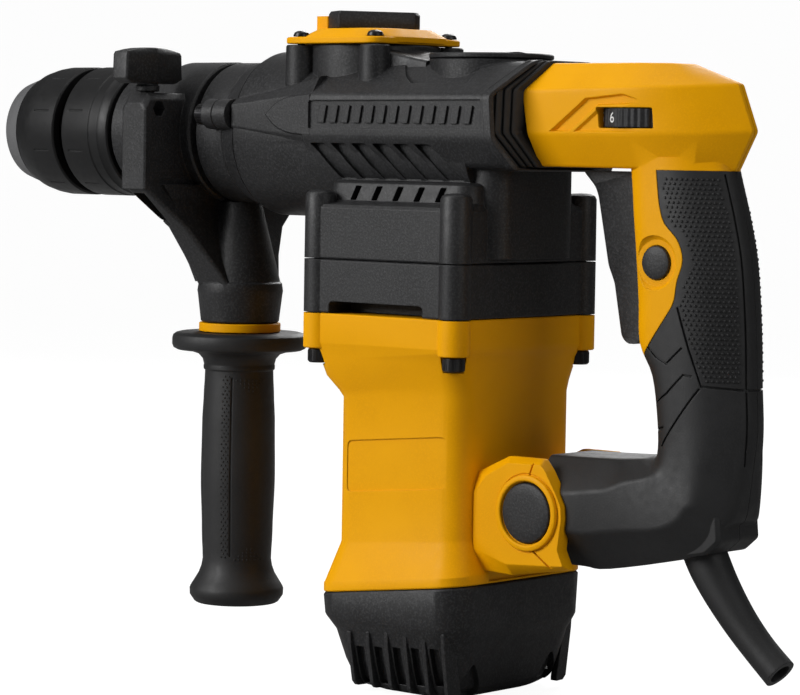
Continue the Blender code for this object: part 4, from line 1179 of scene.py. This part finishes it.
def side_grip():
    ring = [(137, 5.3), (137, 17.0), (137.3, 17.3), (140.4, 17.3), (140.7, 17.0), (140.7, 5.3)]
    dress(turned("grip_ring", ring, at=GRIP), "yellow_plastic", "side_grip", ("grip_collar",))
    lower = [(21.5, 0), (21.5, 17.2), (22.0, 18.0), (24.0, 19.4), (24.8, 19.9)]
    lower += [(27.4, 20.0), (28.4, 19.6), (31.0, 18.0), (34.0, 16.2), (37.0, 15.1)]
    waist = [(z, grip_radius(z)) for z in range(40, 120, 4)]
    upper = [
        (120.5, 14.5), (121.0, 15.1), (122.4, 15.2), (123.0, 15.0), (125.4, 15.6), (127.4, 17.4),
        (128.6, 21.0), (129.2, 26.4), (130.0, 28.0), (131.4, 28.6), (134.0, 28.6), (135.4, 28.2),
        (136.3, 27.0), (136.7, 25.5), (136.7, 5.3), (100.0, 5.3), (100.0, 0),
    ]
    grip = turned("grip_body", lower + waist + upper, at=GRIP)
    dress(studs("grip_dots", grip_dot_places(surface_of(grip)), 0.55, 0.28), "grip_rubber", "side_grip")
    panels = []
    for angle in (math.radians(32), math.radians(212)):
        for turn in (angle, angle + math.radians(120)):
            panels.append(grip_line(turn))
    cut(grip, gather("grip_panels", panels))
    dress(grip, "grip_rubber", "side_grip", ("side_grip",))


def grip_dot_places(surface):
    """Two columns of staggered dots on opposite sides, with a small triangle at each end."""
    dots = []
    for angle in (math.radians(20), math.radians(200)):
        for row in range(52):
            z = 42 + 1.5 * row
            for shift in (-0.06, 0.06):
                turn = angle + shift + (0.06 if row % 2 else 0.0)
                dots.append((turn, z))
        for row in range(4):
            for column in range(8 - 2 * row):
                shift = 0.35 + 0.12 * (column + row)
                dots.append((angle + shift, 41 + 1.5 * row))
                dots.append((angle + shift, 117 - 1.5 * row))
    places = []
    for turn, z in dots:
        out = Vector((math.cos(turn), math.sin(turn), 0))
        hit = surface.ray_cast(Vector(GRIP) + Vector((0, 0, z)) + out * 40, -out)
        places.append((hit[0], out))
    return places


def grip_line(turn):
    """A shallow upright groove that bounds a grip panel."""
    rings = []
    for z in range(42, 119, 4):
        corners = []
        for lift, lean in ((-0.45, -0.02), (1, -0.05), (1, 0.05), (-0.45, 0.02)):
            corners.append(around("Z", GRIP, grip_radius(z) + lift, z, turn + lean))
        rings.append(corners)
    return loft(f"line_{turn:.2f}", rings)


# ---------------------------------------------------------------- rear handle

HEAD_SECTIONS = (
    # y of the top, shoulder, waist and bottom corners, then the half widths and heights of each
    ((56, 51, 54, 56), (12, 22, 22, 16), (249.3, 238.6, 222, 209.6)),
    ((98, 100, 102, 100), (12, 22, 22, 16), (249.4, 239.8, 222.2, 209.5)),
    ((111, 126, 129, 124), (8.5, 13.5, 14.5, 11), (249.3, 240.9, 222.7, 209.4)),
    ((115.6, 137.4, 144.4, 136.6), (1.6, 1.8, 1.8, 1.8), (249.0, 241.6, 224, 209.2)),
)
HANDLE_STATIONS = (
    # inner and outer points (y, z), half width, depth of the inner and outer corners, corner
    # width and rounding
    ((90.5, 214), (134.6, 214), 16.0, 8, 17, 11, 9),
    ((92, 205), (137.2, 205), 16.2, 8, 17, 11, 9),
    ((93.5, 192), (140.8, 192), 16.8, 8, 17, 11.2, 9),
    ((95.3, 177), (144.2, 177), 17.2, 8, 17, 11.4, 9),
    ((96.8, 160), (146.1, 160), 17.2, 8, 17, 11.4, 9),
    ((97.8, 144), (147.2, 144), 17.2, 8, 17, 11.4, 9),
    ((104, 132), (147.7, 130), 17.2, 8, 17, 11.4, 9),
    ((107, 115), (148.4, 113), 17.4, 8, 16, 11.2, 8),
    ((108, 103), (146.6, 97), 18.2, 9, 14, 10, 5),
    ((107, 101.5), (144.3, 81), 19.2, 10, 13, 10, 3),
    ((104, 100.6), (140.8, 77), 20.2, 11, 13, 9, 1.4),
    ((100, 100.2), (136.9, 70), 21.2, 11, 14, 9.5, 1.4),
    ((95, 99.9), (124, 64), 22.6, 11, 14, 10, 1.4),
    ((90, 99.6), (90, 57), 24.4, 12, 14.5, 11, 1.4),
    ((78.5, 99.2), (78.5, 57), 25.6, 13, 14.5, 12, 1.4),
    ((62, 98.8), (62, 57), 25.6, 13, 14.5, 12, 1.4),
)
EYE_STATIONS = (
    ((61.9, 97.2), (61.9, 57.1), 21.7, 11, 14.5, 10, 1.4),
    ((60, 97), (60, 57), 21.7, 11, 14.5, 10, 1.4),
    ((49, 91), (49, 64), 21.7, 7, 7, 8, 1.4),
)


def station_ring(station, shrink):
    inner, outer, half, cut_in, cut_out, cut_side, rounding = station
    inner, outer = Vector((0, *inner)), Vector((0, *outer))
    along = (outer - inner).normalized()
    inner, outer = inner + along * shrink, outer - along * shrink
    length = (outer - inner).length
    half -= shrink
    side = [(0, half - cut_side), (cut_in, half), (length - cut_out, half), (length, half - cut_side)]
    ring = side + [(u, -x) for u, x in reversed(side)]
    return soft([inner + along * u + Vector((x, 0, 0)) for u, x in ring], rounding, 5)


def smooth_rows(rows, count=4):
    """More rows of numbers between the given ones, on smooth curves through them."""
    fine = []
    for i in range(len(rows) - 1):
        quad = rows[max(i - 1, 0)], rows[i], rows[i + 1], rows[min(i + 2, len(rows) - 1)]
        for step in range(count):
            t = step / count
            row = []
            for p0, p1, p2, p3 in zip(*quad):
                m1, m2 = (p2 - p0) / 2, (p3 - p1) / 2
                value = (2 * t**3 - 3 * t**2 + 1) * p1 + (t**3 - 2 * t**2 + t) * m1
                row.append(value + (-2 * t**3 + 3 * t**2) * p2 + (t**3 - t**2) * m2)
            fine.append(row)
    fine.append(list(rows[-1]))
    return fine


def smooth_stations(stations):
    rows = smooth_rows([[*inner, *outer, *rest] for inner, outer, *rest in stations])
    return [(row[0:2], row[2:4], *row[4:]) for row in rows]


def black_zone(shift):
    """Side outline (y, z) of what is black on the handle; a shift moves its border with the yellow."""
    border = [(110.9, 209.2), (113.0, 196), (115.4, 189.4), (122.0, 183.8), (124.9, 176), (122.0, 167.6)]
    border += [(121.2, 160), (109.2, 143.2), (103, 137), (90, 130)]
    edge = [(y + shift, z - (shift if z < 150 else 0)) for y, z in border]
    outline = edge + [(44, 133 - shift), (44, 50), (170, 50), (170, 209.2)]
    return soft(outline, (0.1, 3, 3, 4, 4, 3, 3, 2, 4, 0.1, 0.1, 0.1, 0.1, 0.1))


def head_rings():
    rings = []
    for ys, halves, heights in HEAD_SECTIONS:
        corners = [(half, y, height) for y, half, height in zip(ys, halves, heights)]
        rings.append(soft(mirrored(corners), 1.2))
    return rings


def column_and_arm(shrink=0.0, name="handle_sweep"):
    stations = smooth_stations(HANDLE_STATIONS) + list(EYE_STATIONS)
    return loft(name, [station_ring(station, shrink) for station in stations])


def strip_line(name, points, width=0.9):
    """An upright prism along a path in the side view, wide enough to cut a groove."""
    left, right = [], []
    path = [Vector(p) for p in points]
    for index, point in enumerate(path):
        ahead = path[min(index + 1, len(path) - 1)] - path[max(index - 1, 0)]
        across = Vector((-ahead.y, ahead.x)).normalized() * width / 2
        left.append(point + across)
        right.append(point - across)
    return prism(name, left + right[::-1], -40, 40, "YZ")


PAD_BORDER = (
    # y and z of the dimpled pad's front edge, from the top down
    (112.6, 208),
    (114.6, 196), (117.0, 190.4), (123.8, 185.2), (126.7, 176), (123.8, 167), (122.8, 158.5),
    (127.6, 144), (132.9, 129.5),
)


def handle_grooves():
    """The pad's edge, the seams beside the rear ridge, the heel's edge and three chevrons."""
    second = [(103, 131.5), (112.3, 122.0), (118.6, 126.0), (126.0, 133.5), (129.4, 133.0)]
    return [
        strip_line("pad_edge", [*PAD_BORDER[6:], (158, 127.5)], 0.9),
        prism("rear_seam", [(-5.6, 100), (-4.9, 100), (-4.9, 208), (-5.6, 208)], 120, 160, "XZ"),
        prism("rear_seam_other", [(4.9, 100), (5.6, 100), (5.6, 208), (4.9, 208)], 120, 160, "XZ"),
        strip_line("heel_edge", [(132.4, 128.6), (121.1, 112.7), (116.5, 106)], 0.8),
        strip_line("chevron_1", [(104, 147.5), (113.5, 139.6), (118.3, 137.2), (125.2, 143.5)], 0.8),
        strip_line("chevron_2", second, 0.8),
        strip_line("chevron_3", [(104, 116.5), (110.5, 111.5), (117.5, 113.5)], 0.8),
    ]


def pad_border_at(z):
    """How far back the dimpled pad starts at a height."""
    for (y0, z0), (y1, z1) in zip(PAD_BORDER, PAD_BORDER[1:]):
        if z1 <= z <= z0:
            t = (z - z0) / (z1 - z0)
            return y0 + (y1 - y0) * t
    return PAD_BORDER[-1][0]


def pad_dots(cover, side):
    """Staggered rows of small dots over the rear pad, spaced by distance along the surface."""
    surface = surface_of(cover)
    places = []
    pitch = 2.0
    for row in range(44):
        z = 131.5 + pitch * 0.866 * row
        border = pad_border_at(z) + 1.0
        travelled = pitch * (0.5 if row % 2 else 0.0)
        previous = None
        for step in range(9, 400):
            angle = math.radians(step * 0.35)
            out = Vector((side * math.sin(angle), math.cos(angle), 0))
            hit = surface.ray_cast(Vector((0, 122, z)) + out * 60, -out)
            if hit[0] is None or hit[0].y < border:
                break
            if previous is not None:
                travelled += (hit[0] - previous).length
            if travelled >= pitch:
                travelled -= pitch
                if abs(hit[0].x) > 7.0:
                    places.append((hit[0], hit[1]))
            previous = hit[0]
    return places


def handle_shells():
    yellow = column_and_arm()
    core = column_and_arm(0.7, "handle_core")
    join(yellow, bar("pivot_eye", 15, -21.7, 21.7, "X", PIVOT, 64))
    cut(yellow, arm_relief(-1), arm_relief(1))
    black = twin(yellow, "handle_black")
    keep_within(black, prism("black_zone", black_zone(GAP), -40, 40, "YZ"))
    engrave(black, core, handle_grooves())
    join(black, cable_pod())
    bpy.data.objects.remove(core)
    cut(yellow, prism("yellow_zone", black_zone(0), -40, 40, "YZ"))
    join(yellow, loft("head", head_rings()))
    slot = block("trigger_slot", (-7.2, 60, 141), (7.2, 112, 209.2))
    cut(yellow, twin(slot, "slot_copy"))
    bore = bar("pivot_bore", 4.4, -40, 40, "X", PIVOT, 40)
    cut(black, slot, bore, guard_tube("guard_space", GAP))
    details = {1: head_details(), -1: [head_recess(-1), window_recess(-1)]}
    for side, word in ((1, "left"), (-1, "right")):
        low, high = sorted((side * 0.15, side * 45))
        shell = twin(yellow, f"shell_{word}")
        keep_within(shell, block(f"half_{word}", (low, 0, 0), (high, 200, 300)))
        cut(shell, *details[side])
        dress(shell, "yellow_plastic", "handle", (f"handle_shell_{word}",))
        cover = twin(black, f"cover_{word}")
        keep_within(cover, block(f"cover_half_{word}", (low, 0, 0), (high, 200, 300)))
        dress(studs(f"pad_dots_{word}", pad_dots(cover, side), 0.72, 0.42), "grip_rubber", "handle")
        dress(cover, "grip_rubber", "handle", (f"grip_cover_{word}",), smooth=34)
    bpy.data.objects.remove(yellow)
    bpy.data.objects.remove(black)


def head_recess(side):
    """The shallow arrow-shaped field round the front and top of the dial."""
    corners = [(63.8, 222.9), (74.1, 222.9), (87.4, 232.8), (115.3, 233.6), (98.9, 237.6), (81.4, 235.9)]
    inner = [(66.6, 223.5), (73.4, 223.5), (86.6, 233.4), (110.0, 234.4), (98.4, 236.9), (82.0, 235.3)]
    rings = []
    for x, outline in ((20.5, inner), (22.4, corners), (24, corners)):
        rings.append([(side * x, y, z) for y, z in outline])
    return loft(f"dial_recess_{side}", rings)


def window_recess(side):
    """The sunken field round the dial's window."""
    outer = [(75.5, 222.9), (87.9, 232.2), (115.6, 233.2), (114.6, 222.9)]
    inner = [(78.0, 223.6), (88.6, 231.4), (114.6, 232.3), (113.8, 223.6)]
    rings = []
    for x, outline in ((20.9, inner), (22.3, outer), (24, outer)):
        rings.append([(side * x, y, z) for y, z in outline])
    return loft(f"window_recess_{side}", rings)


def head_details():
    window = soft([(87.5, 224.6), (111.6, 224.6), (110.6, 232.4), (86.6, 232.4)], 0.7)
    hole = [(10, 0), (10, 6.6), (15.2, 6.6), (15.2, 8.8), (16.5, 10.2), (25, 10.2), (25, 0)]
    return [
        head_recess(1),
        window_recess(1),
        prism("dial_window", window, 14, 30, "YZ"),
        turned("button_hole", hole, "X", BUTTON, 96),
    ]


GUARD_ROUTE = (
    # y and z of the centre line, then the radius
    (122.5, 72, 8.3),
    (127.5, 62, 8.2),
    (132.5, 54, 7.7),
    (138.5, 46, 7.1),
    (145, 38.5, 6.6),
    (152.6, 31, 6.3),
    (160.9, 23.8, 6.4),
)


def guard_tube(name, grow=0.0, overrun=0.0, radius=None, sides=48):
    """A tube along the guard's route, on a smooth curve through its marks."""
    rows = smooth_rows(GUARD_ROUTE)
    centres = [Vector((0, y, z)) for y, z, _ in rows]
    last = len(centres) - 1
    side = Vector((1, 0, 0))
    rings = []
    for index, centre in enumerate(centres):
        ahead = (centres[min(index + 1, last)] - centres[max(index - 1, 0)]).normalized()
        lift = ahead.cross(side)
        reach = radius or rows[index][2] + grow
        push = {0: -overrun, last: overrun}.get(index, 0.0)
        ring = []
        for step in range(sides):
            turn = 2 * math.pi * step / sides
            spoke = side * math.cos(turn) + lift * math.sin(turn)
            ring.append(centre + ahead * push + spoke * reach)
        rings.append(ring)
    return loft(name, rings)


def cable_guard():
    guard = guard_tube("bend_guard")
    cut(guard, guard_tube("guard_bore", overrun=1.0, radius=4.3))
    dress(guard, "grip_rubber", "handle", ("cable_guard",), smooth=40)


def cable_pod():
    """The thicker block under the handle's corner, which holds the cable guard."""
    shape = [(110.5, 73), (112.5, 66.5), (117, 63.2), (135.5, 66.8), (141.5, 72.0), (140.5, 82), (122, 82)]
    rings = []
    for x, scale in ((-13.5, 0.90), (-12.2, 1.0), (12.2, 1.0), (13.5, 0.90)):
        ring = [(x, 127 + (y - 127) * scale, 76 + (z - 76) * scale) for y, z in shape]
        rings.append(soft(ring, 1.2, 3))
    return loft("cable_pod", rings)


def trigger():
    outline = [(68.5, 208.3), (74.4, 202.5), (76, 199), (81.5, 172.4), (84.5, 166), (88.4, 145.5)]
    outline += [(91, 143), (97, 143), (101, 150), (101, 204), (97, 208.3)]
    shape = soft(outline, 1.6)
    rings = []
    for x, inset in ((-6.6, 1.6), (-5.9, 0.5), (-4.6, 0), (4.6, 0), (5.9, 0.5), (6.6, 1.6)):
        rings.append([(x, y + inset * (1 if y < 92 else 0), z) for y, z in shape])
    dress(loft("trigger_blade", rings), "black_plastic", "trigger", ("trigger",), smooth=40)


def lock_button():
    profile = [(10.5, 0), (10.5, 6.4), (15.6, 6.4), (16.2, 6.1), (16.5, 5.2), (16.7, 3.0), (16.8, 0)]
    dress(turned("lock_dome", profile, "X", BUTTON, 64), "black_plastic", "lock_button", ("lock_button",))


def speed_dial():
    """A ribbed thumb wheel with smooth fields for its numbers."""
    first, pitch = -16.0, 30.0
    outline = []
    for index in range(360):
        angle = index - 180.0
        field = min(abs((angle - (first - pitch * k) + 180) % 360 - 180) for k in range(6))
        tooth = 0.45 * (0.5 + 0.5 * math.cos(math.radians(angle * 40)))
        reach = 16.9 if field < 7.5 else 16.45 + tooth
        turn = math.radians(angle)
        outline.append((DIAL[0] + reach * math.cos(turn), DIAL[1] + reach * math.sin(turn)))
    dress(prism("dial_wheel", outline, 225, 232), "black_plastic", "speed_dial", ("speed_dial",), smooth=40)
    for index in range(6):
        angle = math.radians(first - pitch * index)
        curve = bpy.data.curves.new(f"dial_number_{6 - index}", "FONT")
        curve.body = str(6 - index)
        curve.size = 5.6 * MM
        curve.align_x = "CENTER"
        curve.align_y = "CENTER"
        curve.extrude = 0.06 * MM
        text = bpy.data.objects.new(curve.name, curve)
        bpy.context.scene.collection.objects.link(text)
        out = Vector((math.cos(angle), math.sin(angle), 0))
        across = Vector((-out.y, out.x, 0))
        turn = Matrix((across, Vector((0, 0, 1)), out)).transposed().to_4x4()
        place = Vector((DIAL[0], DIAL[1], 228.4)) * MM + out * 16.95 * MM
        graph = bpy.context.evaluated_depsgraph_get()
        mesh = bpy.data.meshes.new_from_object(text.evaluated_get(graph))
        mesh.transform(Matrix.Translation(place) @ turn)
        bpy.data.objects.remove(text)
        number = bpy.data.objects.new(f"dial_number_{6 - index}", mesh)
        bpy.context.scene.collection.objects.link(number)
        dress(number, "black_plastic", "speed_dial", material="white_ink")


def pivot_caps():
    profile = [(26.6, 0), (26.6, 11.6), (28.5, 11.6), (29.0, 11.2)]
    profile += [(29.3, 10.2), (29.5, 7.0), (29.6, 3.0), (29.6, 0)]
    ring = [(27.9, 12.3), (29.2, 12.4), (29.5, 12.8), (29.5, 14.0), (29.2, 14.5), (27.9, 14.6)]
    for side, word in ((1, "left"), (-1, "right")):
        disc = turned(f"cap_disc_{word}", [(side * a, r) for a, r in profile], "X", PIVOT)
        dress(disc, "black_plastic", "housing", (f"pivot_cap_{word}",))
        collar = turned(f"cap_ring_{word}", [(side * a, r) for a, r in ring], "X", PIVOT)
        dress(collar, "yellow_plastic", "housing")


def bellows():
    """Pleats between the housing and the handle's head, following the head's slanted front."""
    corners = ((13.0, 249.8), (23.4, 238.8), (23.4, 222.2), (16.6, 209.2))
    lead = (7.0, 0.6, 0.0, 6.0)
    rings = []
    start, end, folds = 43.6, 51.4, 4
    pitch = (end - start) / folds
    for fold in range(folds):
        for along, depth in ((0.0, 0.10), (0.12, 0.0), (0.66, 0.0), (0.80, 0.10)):
            share = (fold + along) / folds
            wide = 1.50 - 0.46 * share - depth
            tall = 1.02 - 0.02 * share - 0.7 * depth
            ring = []
            for (x, z), shift in zip(corners, lead):
                y = start + pitch * (fold + along) + shift
                ring.append((x * wide, y, BELLOWS_Z + (z - BELLOWS_Z) * tall))
            rings.append(soft(mirrored(ring), 1.0))
    outer = loft("bellows_folds", rings)
    inside = ((12, 248.6), (21, 238.8), (21, 222.2), (15.6, 210.4))
    hollow = []
    for y in (20, 70):
        ring = [(x * 0.78, y, BELLOWS_Z + (z - BELLOWS_Z) * 0.78) for x, z in inside]
        hollow.append(soft(mirrored(ring), 1.0))
    cut(outer, loft("bellows_space", hollow))
    outer.data.materials.clear()
    outer.data.materials.append(MATERIALS["grip_rubber"])
    outer.data.shade_smooth()
    outer.data.set_sharp_from_angle(angle=math.radians(30))
    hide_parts("bellows")
    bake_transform(outer)


# ---------------------------------------------------------------- CAD nodes that stay


def finish_cad_nodes():
    """Every CAD node that still shows gets the detailed material of its own slot."""
    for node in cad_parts.values():
        for slot in node.material_slots:
            base = slot.material.name.split(".")[0]
            if base in MATERIALS:
                slot.material = MATERIALS[base]


place_camera()
make_stage()
make_light()
finish_cad_nodes()
gear_housing()
front_housing()
intermediate_flange()
motor_housing()
motor_cap()
selector_cover()
selector_lever()
crank_lid()
screws()
chuck()
side_clamp()
depth_knob()
side_grip()
handle_shells()
trigger()
lock_button()
speed_dial()
pivot_caps()
bellows()
cable_guard()
bpy.context.view_layer.update()
